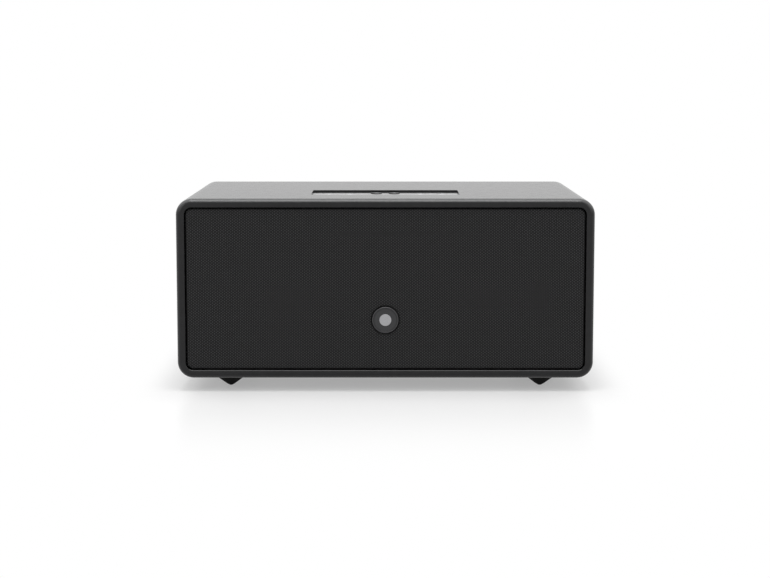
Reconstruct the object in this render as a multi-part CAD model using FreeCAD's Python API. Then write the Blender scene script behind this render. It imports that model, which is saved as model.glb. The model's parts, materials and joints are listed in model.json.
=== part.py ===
import FreeCAD, Part
import math
import os

# Wireless speaker. Millimetres, +Z up, front face towards -Y, origin on the floor under the middle.

# Length by which solids that are joined into one run into each other
overlap = 1.0

# Cabinet
body_width = 380.0
body_height = 164.8
body_depth = 190.0
wall = 12.0
corner_radius = 14.7
front_edge_radius = 5.5
rear_edge_bevel = 1.0
cavity_corner_radius = 4.0
rim_width = 7.85
rim_edge_bevel = 0.5
opening_corner_radius = 6.7
baffle_setback = 13.0
baffle_thickness = 12.0
board_fit = 0.2
rear_rim_width = 6.0
rear_setback = 6.0
rear_board_thickness = 12.0

# Feet
foot_height = 12.2
foot_top_radius = 18.0
foot_tip_radius = 1.5
foot_tip_bevel_radius = 3.9
foot_tip_bevel_height = 1.4
foot_side_angle = 37.2
foot_peg_radius = 4.0
foot_peg_length = 9.0
foot_peg_fit = 0.05
foot_peg_relief = 0.5
foot_side_setback = 45.9
foot_front_setback = 30.0

# Grille panel
grille_gap = 1.3
grille_setback = 1.3
grille_corner_radius = 5.4
grille_edge_bevel = 1.0
cloth_thickness = 0.7
cloth_wrap = 9.0
grille_frame_width = 12.0
grille_seat_gap = 0.3
grille_rib_width = 8.0
grille_rib_depth = 4.0
grille_rib_setback = 42.0
peg_radius = 2.9
peg_length = 9.0
peg_tip = 0.8
peg_fit = 0.1
peg_side_inset = 9.0
socket_wall = 1.5
socket_floor = 1.0
socket_fit = 0.05

# Badge
badge_radius = 12.0
badge_height = 66.4
badge_thickness = 1.1
badge_rim_width = 0.9
badge_dish_depth = 0.3
badge_edge_bevel = 0.35
badge_inlay_radius = 5.4
badge_inlay_thickness = 0.35
badge_inlay_bevel = 0.12
badge_boss_radius = 11.0

# Control deck in the top
deck_width = 139.0
deck_length = 47.4
deck_front_setback = 42.0
deck_depth = 2.6
deck_corner_radius = 1.5
deck_plate_thickness = 2.0
deck_ledge = 2.0
deck_fit = 0.15
key_radius = 5.35
key_hole_clearance = 0.15
key_edge_bevel = 0.35
key_flange_radius = 6.3
key_flange_thickness = 1.2
key_flange_gap = 0.2
key_proud = 0.3
volume_key_proud = 0.9
key_travel = 0.6
key_row_setback = 9.4
end_key_x = 54.5
inner_key_x = 34.0
volume_key_x = 8.5
preset_keys = 4
preset_key_pitch = 23.0
stem_radius = 1.6
stem_insertion = 1.0
switch_size = 6.0
switch_height = 3.5
switch_floor = 0.7
switch_bore_clearance = 0.3
control_board_drop = 7.4
control_board_thickness = 1.6
control_board_margin = 1.0
boss_radius = 3.0
boss_end_setback = 7.0
boss_end_y = 8.0
boss_inner_x = 22.0

# Screws that hold the circuit boards
board_screw_radius = 1.25
board_screw_length = 6.3
board_screw_head_radius = 2.4
board_screw_head_height = 1.7
screw_fit = 0.1

# Woofer, as radii and depths behind the front of its flange
woofer_flange_radius = 66.3
woofer_flange_thickness = 4.5
woofer_flange_inner_radius = 51.0
woofer_seat_radius = 57.8
woofer_seat_depth = 1.5
woofer_cutout_radius = 58.5
driver_recess_fit = 0.3
gasket_thickness = 1.0
basket_wall = 2.0
basket_shoulder_radius = 55.0
basket_ledge_depth = 30.0
basket_ledge_outer_radius = 44.0
basket_ledge_inner_radius = 35.5
basket_back_depth = 39.0
basket_windows = 6
basket_window_width = 30.0
basket_window_margin = 4.0
basket_back_clearance = 2.1
cone_edge_radius = 43.0
cone_edge_depth = 3.2
cone_neck_depth = 24.0
cone_thickness = 0.9
dust_cap_radius = 21.5
dust_cap_height = 8.0
dust_cap_thickness = 0.6
surround_thickness = 0.6
surround_roll_radius = 4.4
surround_roll_chords = 8
surround_lip = 2.8
spider_thickness = 0.5
spider_waves = 4
spider_wave_height = 1.1
spider_land = 3.0
spider_rim_gap = 1.0
spider_rim_fit = 0.5
former_radius = 17.4
former_wall = 0.5
former_front_depth = 22.0
former_back_depth = 52.0
winding_thickness = 0.8
coil_gap = 0.7
top_plate_thickness = 6.0
cone_travel = 4.0
top_plate_radius = 42.0
magnet_thickness = 17.0
magnet_radius = 44.0
magnet_hole_radius = 24.0
yoke_plate_thickness = 6.0
yoke_plate_radius = 41.0
pole_vent_radius = 6.0
terminal_plate_width = 16.0
terminal_plate_thickness = 2.0
terminal_tab_length = 8.0
terminal_tab_width = 5.0
terminal_tab_thickness = 0.8
terminal_tab_inset = 1.0
woofer_screws = 6
woofer_screw_circle = 62.0
woofer_screw_radius = 2.0
woofer_screw_head_radius = 3.9
woofer_screw_length = 14.0

# Tweeters, as radii and depths behind the front of their plates
tweeter_side_setback = 62.0
tweeter_plate_radius = 26.0
tweeter_plate_thickness = 3.0
tweeter_mouth_radius = 17.0
tweeter_throat_radius = 13.0
tweeter_dome_radius = 9.5
tweeter_dome_height = 3.4
tweeter_film = 0.5
tweeter_roll_radius = 1.5
tweeter_roll_chords = 4
tweeter_rim_radius = 15.0
tweeter_travel = 0.3
tweeter_rim_clearance = 0.05
tweeter_motor_radius = 17.0
tweeter_motor_length = 18.0
tweeter_chamber_depth = 2.0
tweeter_motor_bevel = 1.0
tweeter_collar_wall = 2.7
tweeter_collar_length = 5.0
tweeter_screws = 3
tweeter_screw_circle = 23.2
tweeter_screw_radius = 1.4
tweeter_screw_head_radius = 2.5
tweeter_screw_length = 12.0

# Reflex port
port_side_setback = 70.0
port_bore_radius = 24.0
port_wall = 2.5
port_flare_radius = 7.0
port_flange_radius = 37.0
port_flange_thickness = 2.5
port_collar_wall = 5.0
port_length = 95.0
port_end_bevel = 2.0
port_fit = 0.3

# Rear amplifier panel
panel_side_gap = 32.0
panel_width = 216.0
panel_height = 108.0
panel_thickness = 2.5
panel_corner_radius = 6.0
panel_opening_margin = 9.0
panel_gasket = 1.0
panel_gasket_width = 7.75
panel_screw_inset = 4.4
panel_screw_columns = 5
panel_screw_radius = 1.75
panel_screw_head_radius = 3.4
panel_screw_head_height = 1.9
panel_screw_head_bevel = 0.9
panel_screw_length = 12.0
bay_width = 168.0
bay_height = 40.0
bay_depth = 12.0
bay_drop = 22.0
bay_corner_radius = 3.0
socket_clearance = 0.3

# Amplifier board and what stands on it
amp_board_offset = -27.0
amp_board_width = 138.0
amp_board_height = 88.0
amp_board_thickness = 1.6
amp_board_gap = 10.4
post_radius = 3.2
post_inset = 6.0
transformer_size = (34.0, 24.0, 28.0)
transformer_place = (39.0, 18.0)
transformer_core_width = 12.0
transformer_winding_setback = 2.0
capacitor_radius = 9.0
capacitor_length = 28.0
capacitor_places = ((11.0, 12.0), (-9.0, 12.0), (1.0, 31.0))
heatsink_size = (56.0, 20.0, 26.0)
heatsink_place = (-3.0, -26.0)
heatsink_fins = 8
heatsink_base = 4.0
heatsink_fin_thickness = 2.0
wireless_size = (34.0, 4.0, 26.0)
wireless_place = (-45.0, 20.0)
wireless_board_thickness = 1.2
wireless_can_margin = 3.0

# Sockets in the rear bay
inlet_offset = 62.0
inlet_flange = (30.0, 20.0, 2.0)
inlet_flange_radius = 2.0
inlet_body = (22.0, 13.0, 18.5)
inlet_cavity = (16.2, 8.4, 12.5)
inlet_cavity_radius = 4.1
inlet_pin_radius = 1.18
inlet_pin_spacing = 8.6
inlet_pin_length = 10.3
phono_offsets = (16.0, 2.0, -12.0)
phono_block = (10.0, 12.0)
phono_barrel_radius = 4.1
phono_barrel_length = 9.0
phono_collar_radius = 5.6
phono_collar_length = 1.4
phono_hole_radius = 1.6
phono_hole_depth = 8.0
usb_offset = -36.0
usb_body = (7.4, 14.6, 1.2)
usb_cavity = (4.8, 12.4, 10.0)
usb_tongue = (1.9, 11.2)
usb_tongue_offset = 1.05
usb_tongue_setback = 1.0
network_offset = -64.0
network_body = (16.2, 13.6, 1.6)
network_cavity = (11.8, 8.4, 11.0)
network_cavity_drop = 1.0
network_latch = (6.0, 2.4)

# Soft lining and leads inside
wadding_thickness = 12.0
wadding_side_gap = 8.0
wadding_front_gap = 10.0
wadding_rear_gap = 17.0
wadding_lift = 0.3
wadding_corner_radius = 4.0
lead_radius = 1.1
lead_bend = 5.0
woofer_lead_start_height = 39.0
tweeter_lead_start_height = 41.0
tweeter_lead_left_start = -53.0
tweeter_lead_right_start = 39.0
woofer_lead_run_out = 44.0
tweeter_lead_run_out = 22.0
tweeter_lead_drop_gap = 33.0
tweeter_lead_run_in = 14.0
tweeter_lead_height = 10.0
lead_ceiling_gap = 7.0
lead_end_gap = 0.2

# Places worked out from the sizes above
front_y = -body_depth / 2
rear_y = body_depth / 2
base_z = foot_height
top_z = foot_height + body_height
mid_z = foot_height + body_height / 2
baffle_y = front_y + baffle_setback
baffle_back_y = baffle_y + baffle_thickness
rear_board_y = rear_y - rear_setback
rear_board_inner_y = rear_board_y - rear_board_thickness
opening_half_width = body_width / 2 - rim_width
opening_half_height = body_height / 2 - rim_width
rear_half_width = body_width / 2 - rear_rim_width
rear_half_height = body_height / 2 - rear_rim_width
grille_half_width = opening_half_width - grille_gap
grille_half_height = opening_half_height - grille_gap
cloth_y = front_y + grille_setback
frame_y = cloth_y + cloth_thickness
frame_back_y = baffle_y - grille_seat_gap
tweeter_x = body_width / 2 - tweeter_side_setback
grille_rib_x = tweeter_x - grille_rib_setback
port_x = port_side_setback - body_width / 2
panel_x = body_width / 2 - panel_side_gap - panel_width / 2
amp_board_x = panel_x + amp_board_offset
inlet_x = panel_x + inlet_offset
phono_x = [panel_x + offset for offset in phono_offsets]
usb_x = panel_x + usb_offset
network_x = panel_x + network_offset
deck_front_y = front_y + deck_front_setback
deck_rear_y = deck_front_y + deck_length
deck_mid_y = (deck_front_y + deck_rear_y) / 2
deck_z = top_z - deck_depth
plate_under_z = deck_z - deck_plate_thickness
control_board_z = plate_under_z - control_board_drop
switch_top_z = control_board_z + switch_height
rear_row_y = deck_rear_y - key_row_setback
front_row_y = deck_front_y + key_row_setback
panel_seat_y = rear_board_y + panel_gasket
panel_face_y = panel_seat_y + panel_thickness
bay_z = mid_z - bay_drop
bay_floor_y = panel_face_y - bay_depth
bay_back_y = bay_floor_y - panel_thickness
amp_board_y = bay_back_y - amp_board_gap
amp_front_y = amp_board_y - amp_board_thickness
top_plate_depth = basket_back_depth + basket_wall
magnet_depth = top_plate_depth + top_plate_thickness
yoke_depth = magnet_depth + magnet_thickness
winding_radius = former_radius + winding_thickness
pole_radius = former_radius - former_wall - coil_gap
spider_depth = basket_ledge_depth - spider_thickness
tweeter_play = tweeter_travel + tweeter_rim_clearance

X_AXIS = FreeCAD.Vector(1, 0, 0)
Y_AXIS = FreeCAD.Vector(0, 1, 0)
Z_AXIS = FreeCAD.Vector(0, 0, 1)
WOOFER_FRONT = FreeCAD.Vector(0, baffle_y, mid_z)


def block(x_from, x_to, y_from, y_to, z_from, z_to):
    """Rectangular block between three pairs of limits."""
    corner = FreeCAD.Vector(x_from, y_from, z_from)
    return Part.makeBox(x_to - x_from, y_to - y_from, z_to - z_from, corner)


def block_on(centre, size_x, size_z, y_from, y_to):
    """Block round a line that runs along the depth at centre, given as (x, z)."""
    x, z = centre
    return block(x - size_x / 2, x + size_x / 2, y_from, y_to, z - size_z / 2, z + size_z / 2)


def edges_along(shape, axis):
    """Straight edges of the shape that run along the axis."""
    found = []
    for edge in shape.Edges:
        if len(edge.Vertexes) == 2 and abs(edge.tangentAt(edge.FirstParameter).dot(axis)) > 0.999:
            found.append(edge)
    return found


def edges_at_y(shape, y):
    """Edges that lie wholly in the plane at depth y."""
    return [edge for edge in shape.Edges if abs(edge.BoundBox.YMin - y) + abs(edge.BoundBox.YMax - y) < 1e-4]


def rounded_plate(half_width, half_height, radius, y_from, y_to, centre_x=0.0, centre_z=mid_z):
    """Plate facing the front with four rounded corners."""
    plate = block_on((centre_x, centre_z), 2 * half_width, 2 * half_height, y_from, y_to)
    return plate.makeFillet(radius, edges_along(plate, Y_AXIS))


def rounded_tile(half_width, y_from, y_to, radius, z_from, z_to):
    """Plate facing up with four rounded corners, centred on the middle of the width."""
    tile = block(-half_width, half_width, y_from, y_to, z_from, z_to)
    return tile.makeFillet(radius, edges_along(tile, Z_AXIS))


def rod(x, z, radius, y_from, y_to):
    """Round bar along the depth."""
    return Part.makeCylinder(radius, y_to - y_from, FreeCAD.Vector(x, y_from, z), Y_AXIS)


def post(x, y, radius, z_from, z_to):
    """Round bar along the height."""
    return Part.makeCylinder(radius, z_to - z_from, FreeCAD.Vector(x, y, z_from), Z_AXIS)


def turned(steps, origin, along):
    """Solid of revolution about along. A step is a (radius, distance) corner, or an arc's (middle, end)."""
    def place(corner):
        return origin + X_AXIS * corner[0] + along * corner[1]

    edges = []
    here = place(steps[0])
    for step in steps[1:] + steps[:1]:
        if isinstance(step[0], tuple):
            end = place(step[1])
            edges.append(Part.Arc(here, place(step[0]), end).toShape())
        else:
            end = place(step)
            edges.append(Part.LineSegment(here, end).toShape())
        here = end
    solid = Part.Face(Part.Wire(edges)).revolve(origin, along, 360)
    if solid.Volume < 0:
        solid.reverse()
    return solid


def around(count, first_angle=0.0):
    """Cosine and sine of evenly spaced angles round a circle."""
    angles = [math.radians(first_angle + 360.0 * n / count) for n in range(count)]
    return [(math.cos(angle), math.sin(angle)) for angle in angles]


def cabinet():
    """Wrapped sleeve of top, bottom and sides, rebated for both boards and cut for the deck."""
    shell = rounded_plate(body_width / 2, body_height / 2, corner_radius, front_y, rear_y)
    shell = shell.makeFillet(front_edge_radius, edges_at_y(shell, front_y))
    shell = shell.makeChamfer(rear_edge_bevel, edges_at_y(shell, rear_y))
    front_rebate = rounded_plate(opening_half_width, opening_half_height, opening_corner_radius,
                                 front_y, baffle_back_y)
    cavity = rounded_plate(body_width / 2 - wall, body_height / 2 - wall, cavity_corner_radius,
                           baffle_back_y, rear_board_inner_y)
    rear_rebate = rounded_plate(rear_half_width, rear_half_height, corner_radius - rear_rim_width,
                                rear_board_inner_y, rear_y)
    shell = shell.cut([front_rebate, cavity, rear_rebate])
    rim_edges = [edge for edge in edges_at_y(shell, front_y)
                 if abs(edge.CenterOfMass.x) < opening_half_width + rim_edge_bevel
                 and abs(edge.CenterOfMass.z - mid_z) < opening_half_height + rim_edge_bevel]
    shell = shell.makeChamfer(rim_edge_bevel, rim_edges)
    recess = rounded_tile(deck_width / 2, deck_front_y, deck_rear_y, deck_corner_radius,
                          plate_under_z, top_z + overlap)
    well = rounded_tile(deck_width / 2 - deck_ledge, deck_front_y + deck_ledge,
                        deck_rear_y - deck_ledge, deck_corner_radius, top_z - wall - overlap, plate_under_z)
    peg_top = base_z + foot_peg_length + foot_peg_relief
    peg_holes = [post(x, y, foot_peg_radius + foot_peg_fit, base_z, peg_top)
                 for x, y in foot_places().values()]
    return shell.cut([recess, well] + peg_holes)


def foot_places():
    """Centre of each foot, by its name."""
    x = body_width / 2 - foot_side_setback
    y = body_depth / 2 - foot_front_setback
    return {"foot_front_left": (-x, -y), "foot_front_right": (x, -y),
            "foot_rear_left": (-x, y), "foot_rear_right": (x, y)}


def foot(place):
    """Shallow rubber cone with a small flat tip and a press-in peg on top."""
    slope = math.tan(math.radians(foot_side_angle))
    shoulder_z = foot_tip_bevel_height + (foot_top_radius - foot_tip_bevel_radius) * slope
    outline = [(0, 0), (foot_tip_radius, 0), (foot_tip_bevel_radius, foot_tip_bevel_height),
               (foot_top_radius, shoulder_z), (foot_top_radius, foot_height),
               (foot_peg_radius, foot_height), (foot_peg_radius, foot_height + foot_peg_length),
               (0, foot_height + foot_peg_length)]
    return turned(outline, FreeCAD.Vector(place[0], place[1], 0), Z_AXIS)


def baffle():
    """Front board with a flush recess and cut-out for each driver and holes for the grille sockets."""
    board = rounded_plate(opening_half_width - board_fit, opening_half_height - board_fit,
                          opening_corner_radius - board_fit, baffle_y, baffle_back_y)
    cuts = [rod(0, mid_z, woofer_flange_radius + driver_recess_fit, baffle_y,
                baffle_y + woofer_flange_thickness + gasket_thickness),
            rod(0, mid_z, woofer_cutout_radius, baffle_y, baffle_back_y)]
    for x in (-tweeter_x, tweeter_x):
        collar_radius = tweeter_motor_radius + board_fit + tweeter_collar_wall
        cuts.append(rod(x, mid_z, tweeter_plate_radius + driver_recess_fit, baffle_y,
                        baffle_y + tweeter_plate_thickness))
        cuts.append(rod(x, mid_z, collar_radius + board_fit, baffle_y, baffle_back_y))
        for cos, sin in around(tweeter_screws, 90):
            cuts.append(rod(x + tweeter_screw_circle * cos, mid_z + tweeter_screw_circle * sin,
                            tweeter_screw_radius + screw_fit, baffle_y, baffle_back_y))
    for cos, sin in around(woofer_screws):
        cuts.append(rod(woofer_screw_circle * cos, mid_z + woofer_screw_circle * sin,
                        woofer_screw_radius + screw_fit, baffle_y, baffle_back_y))
    for x, z in peg_places():
        cuts.append(rod(x, z, peg_radius + peg_fit + socket_wall + socket_fit, baffle_y, baffle_back_y))
    return board.cut(cuts)


def rear_board():
    """Rear board with an opening for the amplifier, a hole for the port and pilot holes."""
    board = rounded_plate(rear_half_width - board_fit, rear_half_height - board_fit,
                          corner_radius - rear_rim_width - board_fit, rear_board_inner_y, rear_board_y)
    opening = rounded_plate(panel_width / 2 - panel_opening_margin, panel_height / 2 - panel_opening_margin,
                            panel_corner_radius, rear_board_inner_y, rear_board_y, panel_x)
    cuts = [opening, rod(port_x, mid_z, port_bore_radius + port_collar_wall + port_fit,
                         rear_board_inner_y, rear_board_y)]
    for x, z in panel_screw_places():
        cuts.append(rod(x, z, panel_screw_radius + screw_fit,
                        panel_face_y - panel_screw_length, rear_board_y))
    return board.cut(cuts)


def peg_places():
    """Centre of each grille peg, as (x, z)."""
    end_x = grille_half_width - peg_side_inset
    height = grille_half_height - cloth_thickness - grille_frame_width / 2
    return [(side * x, mid_z + level * height)
            for x in (end_x, grille_rib_x) for side in (-1, 1) for level in (-1, 1)]


def grille_frame():
    """Moulded frame with two upright ribs, a carrier for the badge and eight pegs."""
    half_width = grille_half_width - cloth_thickness
    half_height = grille_half_height - cloth_thickness
    radius = grille_corner_radius - cloth_thickness
    frame = rounded_plate(half_width, half_height, radius, frame_y, frame_back_y)
    frame = frame.makeChamfer(grille_edge_bevel / 2, edges_at_y(frame, frame_y))
    window = rounded_plate(half_width - grille_frame_width, half_height - grille_frame_width,
                           radius, frame_y, frame_back_y)
    frame = frame.cut(window)
    inner_height = 2 * (half_height - grille_frame_width + overlap)
    rib_back_y = frame_y + grille_rib_depth
    added = [block_on((x, mid_z), grille_rib_width, inner_height, frame_y, rib_back_y)
             for x in (-grille_rib_x, grille_rib_x)]
    sill_z = mid_z - half_height + grille_frame_width - overlap
    added.append(block(-grille_rib_width / 2, grille_rib_width / 2, frame_y, rib_back_y,
                       sill_z, badge_height))
    added.append(rod(0, badge_height, badge_boss_radius, frame_y, rib_back_y))
    added.extend(peg(x, z) for x, z in peg_places())
    return frame.fuse(added).removeSplitter()


def peg(x, z):
    """Peg with a tapered tip that presses into the baffle."""
    tip = overlap + peg_length
    outline = [(0, 0), (peg_radius, 0), (peg_radius, tip - peg_tip), (peg_radius - peg_tip, tip), (0, tip)]
    return turned(outline, FreeCAD.Vector(x, frame_back_y - overlap, z), Y_AXIS)


def grille_sockets():
    """Lipless cups in the baffle that grip the pegs."""
    bore = peg_radius + peg_fit
    outer = bore + socket_wall
    floor = baffle_thickness - socket_floor
    outline = [(bore, 0), (outer, 0), (outer, baffle_thickness), (0, baffle_thickness),
               (0, floor), (bore, floor)]
    return [turned(outline, FreeCAD.Vector(x, baffle_y, z), Y_AXIS) for x, z in peg_places()]


def grille_cloth():
    """Stretched cloth over the front and round the sides of the frame."""
    back_y = cloth_y + cloth_wrap
    outer = rounded_plate(grille_half_width, grille_half_height, grille_corner_radius, cloth_y, back_y)
    outer = outer.makeChamfer(grille_edge_bevel, edges_at_y(outer, cloth_y))
    inner = rounded_plate(grille_half_width - cloth_thickness, grille_half_height - cloth_thickness,
                          grille_corner_radius - cloth_thickness, frame_y, back_y)
    inner = inner.makeChamfer(grille_edge_bevel / 2, edges_at_y(inner, frame_y))
    return outer.cut(inner)


def badge():
    """Dished metal disc on the cloth with a raised rim."""
    dish_radius = badge_radius - badge_edge_bevel - badge_rim_width
    outline = [(0, 0), (badge_radius, 0), (badge_radius, badge_thickness - badge_edge_bevel),
               (badge_radius - badge_edge_bevel, badge_thickness), (dish_radius, badge_thickness),
               (dish_radius - badge_dish_depth, badge_thickness - badge_dish_depth),
               (0, badge_thickness - badge_dish_depth)]
    return turned(outline, FreeCAD.Vector(0, cloth_y, badge_height), -Y_AXIS)


def badge_inlay():
    """Plain round inlay in the middle of the badge."""
    seat_y = cloth_y - badge_thickness + badge_dish_depth
    outline = [(0, 0), (badge_inlay_radius, 0),
               (badge_inlay_radius, badge_inlay_thickness - badge_inlay_bevel),
               (badge_inlay_radius - badge_inlay_bevel, badge_inlay_thickness), (0, badge_inlay_thickness)]
    return turned(outline, FreeCAD.Vector(0, seat_y, badge_height), -Y_AXIS)


def boss_places():
    """Centre of each boss under the deck plate, as (x, y)."""
    end_x = deck_width / 2 - boss_end_setback
    ends = [(side * end_x, deck_mid_y + level * boss_end_y) for side in (-1, 1) for level in (-1, 1)]
    return ends + [(side * boss_inner_x, deck_mid_y) for side in (-1, 1)]


def key_places():
    """Centre of each key, by its name."""
    rear_row = {"power": -end_key_x, "source": -inner_key_x, "volume_down": -volume_key_x,
                "volume_up": volume_key_x, "play_pause": inner_key_x, "next_track": end_key_x}
    places = {name: (x, rear_row_y) for name, x in rear_row.items()}
    for n in range(preset_keys):
        x = (n - (preset_keys - 1) / 2) * preset_key_pitch
        places["preset_" + str(n + 1)] = (x, front_row_y)
    return places


def deck_plate():
    """Metal plate at the bottom of the recess, with key holes and bosses for the control board."""
    plate = rounded_tile(deck_width / 2 - deck_fit, deck_front_y + deck_fit, deck_rear_y - deck_fit,
                         deck_corner_radius - deck_fit, plate_under_z, deck_z)
    bosses = [post(x, y, boss_radius, control_board_z, plate_under_z) for x, y in boss_places()]
    holes = [post(x, y, key_radius + key_hole_clearance, plate_under_z, deck_z)
             for x, y in key_places().values()]
    depth = board_screw_length - control_board_thickness + screw_fit
    holes += [post(x, y, board_screw_radius + screw_fit, control_board_z, control_board_z + depth)
              for x, y in boss_places()]
    return plate.fuse(bosses).cut(holes).removeSplitter()


def control_board():
    """Circuit board under the deck, screwed to the bosses."""
    margin = deck_ledge + control_board_margin
    board = block(-deck_width / 2 + margin, deck_width / 2 - margin, deck_front_y + margin,
                  deck_rear_y - margin, control_board_z - control_board_thickness, control_board_z)
    return board.cut([post(x, y, board_screw_radius + screw_fit,
                           control_board_z - control_board_thickness, control_board_z)
                      for x, y in boss_places()])


def key_switches():
    """Housing of the small switch under each key, with a well for the key's stem."""
    stem_tip_z = switch_top_z - stem_insertion
    floor_z = stem_tip_z - key_travel - switch_floor
    half = switch_size / 2
    housings = []
    for x, y in key_places().values():
        housing = block(x - half, x + half, y - half, y + half, control_board_z, switch_top_z)
        well = post(x, y, stem_radius + switch_bore_clearance, floor_z, switch_top_z)
        housings.append(housing.cut(well))
    return housings


def key(place, proud):
    """Round key with a flange under the plate and a stem that reaches its switch."""
    top = deck_z + proud
    flange_top = plate_under_z - key_flange_gap
    flange_under = flange_top - key_flange_thickness
    tip = switch_top_z - stem_insertion
    outline = [(0, tip), (stem_radius, tip), (stem_radius, flange_under), (key_flange_radius, flange_under),
               (key_flange_radius, flange_top), (key_radius, flange_top), (key_radius, top - key_edge_bevel),
               (key_radius - key_edge_bevel, top), (0, top)]
    return turned(outline, FreeCAD.Vector(place[0], place[1], 0), Z_AXIS)


def keys():
    """Every key, by its node name."""
    made = {}
    for name, place in key_places().items():
        proud = volume_key_proud if name.startswith("volume") else key_proud
        made["key_" + name] = key(place, proud)
    return made


def board_screw(tip, along):
    """Pan-head screw whose shaft starts under the head at tip and runs along the given direction."""
    outline = [(0, -board_screw_head_height), (board_screw_head_radius, -board_screw_head_height),
               (board_screw_head_radius, 0), (board_screw_radius, 0),
               (board_screw_radius, board_screw_length), (0, board_screw_length)]
    return turned(outline, tip, along)


def board_screws():
    """Screws of the control board and of the amplifier board."""
    under_z = control_board_z - control_board_thickness
    screws = [board_screw(FreeCAD.Vector(x, y, under_z), Z_AXIS) for x, y in boss_places()]
    screws += [board_screw(FreeCAD.Vector(x, amp_front_y, z), Y_AXIS) for x, z in amp_post_places()]
    return screws


def cone_depth(radius):
    """Depth of the cone's front face at a radius."""
    slope = (cone_neck_depth - cone_edge_depth) / (cone_edge_radius - cone_neck_radius())
    return cone_edge_depth + (cone_edge_radius - radius) * slope


def cone_neck_radius():
    """Radius of the hole in the cone, which the coil former fills."""
    return former_radius + board_fit


def basket():
    """Stamped frame of the woofer with windows between its spokes."""
    outer_shoulder = basket_shoulder_radius + basket_wall
    ledge_under = basket_ledge_depth + basket_wall
    outline = [(woofer_seat_radius, 0), (woofer_flange_radius, 0),
               (woofer_flange_radius, woofer_flange_thickness), (outer_shoulder, woofer_flange_thickness),
               (basket_ledge_outer_radius + basket_wall, ledge_under),
               (basket_ledge_inner_radius + basket_wall, ledge_under),
               (basket_ledge_inner_radius + basket_wall, top_plate_depth),
               (winding_radius + basket_back_clearance, top_plate_depth),
               (winding_radius + basket_back_clearance, basket_back_depth),
               (basket_ledge_inner_radius, basket_back_depth),
               (basket_ledge_inner_radius, basket_ledge_depth),
               (basket_ledge_outer_radius, basket_ledge_depth),
               (basket_shoulder_radius, woofer_flange_thickness),
               (woofer_flange_inner_radius, woofer_flange_thickness),
               (woofer_flange_inner_radius, woofer_seat_depth), (woofer_seat_radius, woofer_seat_depth)]
    frame = turned(outline, WOOFER_FRONT, Y_AXIS)
    window = block(basket_ledge_inner_radius + 2 * basket_wall, woofer_flange_radius,
                   baffle_y + woofer_flange_thickness + basket_window_margin,
                   baffle_y + basket_ledge_depth - basket_window_margin,
                   mid_z - basket_window_width / 2, mid_z + basket_window_width / 2)
    cuts = []
    for n in range(basket_windows):
        turned_window = window.copy()
        turned_window.rotate(WOOFER_FRONT, Y_AXIS, 360.0 * n / basket_windows)
        cuts.append(turned_window)
    return frame.cut(cuts + screw_cuts(woofer_screw_places(), woofer_screw_radius,
                                       woofer_screw_head_radius, woofer_flange_thickness))


def woofer_screw_places():
    """Centre of each woofer screw, as (x, z)."""
    return [(woofer_screw_circle * cos, mid_z + woofer_screw_circle * sin)
            for cos, sin in around(woofer_screws)]


def tweeter_screw_places(x):
    """Centre of each screw of the tweeter at x, as (x, z)."""
    return [(x + tweeter_screw_circle * cos, mid_z + tweeter_screw_circle * sin)
            for cos, sin in around(tweeter_screws, 90)]


def countersunk_outline(radius, head_radius, length, growth):
    """Outline of a countersunk screw, or of its hole where growth is above zero."""
    head = head_radius - radius
    return [(0, 0), (head_radius + growth, 0), (radius + growth, head),
            (radius + growth, length), (0, length)]


def screw_cuts(places, radius, head_radius, length):
    """Countersunk holes through a flange whose face is at the front of the baffle."""
    outline = countersunk_outline(radius, head_radius, length, screw_fit)
    return [turned(outline, FreeCAD.Vector(x, baffle_y, z), Y_AXIS) for x, z in places]


def countersunk_screws(places, radius, head_radius, length):
    """Countersunk screws with their heads flush with the front of the baffle."""
    outline = countersunk_outline(radius, head_radius, length, 0)
    return [turned(outline, FreeCAD.Vector(x, baffle_y, z), Y_AXIS) for x, z in places]


def driver_gasket():
    """Foam ring behind the woofer's flange."""
    inner = woofer_cutout_radius + screw_fit
    back = woofer_flange_thickness + gasket_thickness
    outline = [(inner, woofer_flange_thickness), (woofer_flange_radius, woofer_flange_thickness),
               (woofer_flange_radius, back), (inner, back)]
    ring = turned(outline, WOOFER_FRONT, Y_AXIS)
    return ring.cut([rod(x, z, woofer_screw_radius + screw_fit, baffle_y, baffle_back_y)
                     for x, z in woofer_screw_places()])


def surround():
    """Rubber half roll between the flange and the edge of the cone."""
    lip_front = woofer_seat_depth - surround_thickness - screw_fit
    outer = surround_roll_radius
    inner = outer - surround_thickness
    middle = cone_edge_radius + surround_thickness + outer
    lip_under = cone_edge_depth - screw_fit
    lip_top = lip_under - surround_thickness
    lip_inner = cone_edge_radius - surround_lip
    outline = [(woofer_seat_radius - board_fit, lip_front)]
    outline += half_roll(middle, outer, lip_front, surround_roll_chords, -1)
    outline += [(middle - outer, lip_top), (lip_inner, lip_top), (lip_inner, lip_under),
                (middle - inner, lip_under)]
    outline += half_roll(middle, inner, lip_front, surround_roll_chords, 1)
    outline += [(middle + inner, lip_front + surround_thickness),
                (woofer_seat_radius - board_fit, lip_front + surround_thickness)]
    return turned(outline, WOOFER_FRONT, Y_AXIS)


def cone():
    """Paper cone from the surround down to the coil former."""
    neck = cone_neck_radius()
    outline = [(cone_edge_radius, cone_edge_depth), (neck, cone_neck_depth),
               (neck, cone_neck_depth + cone_thickness), (cone_edge_radius, cone_edge_depth + cone_thickness)]
    return turned(outline, WOOFER_FRONT, Y_AXIS)


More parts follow.
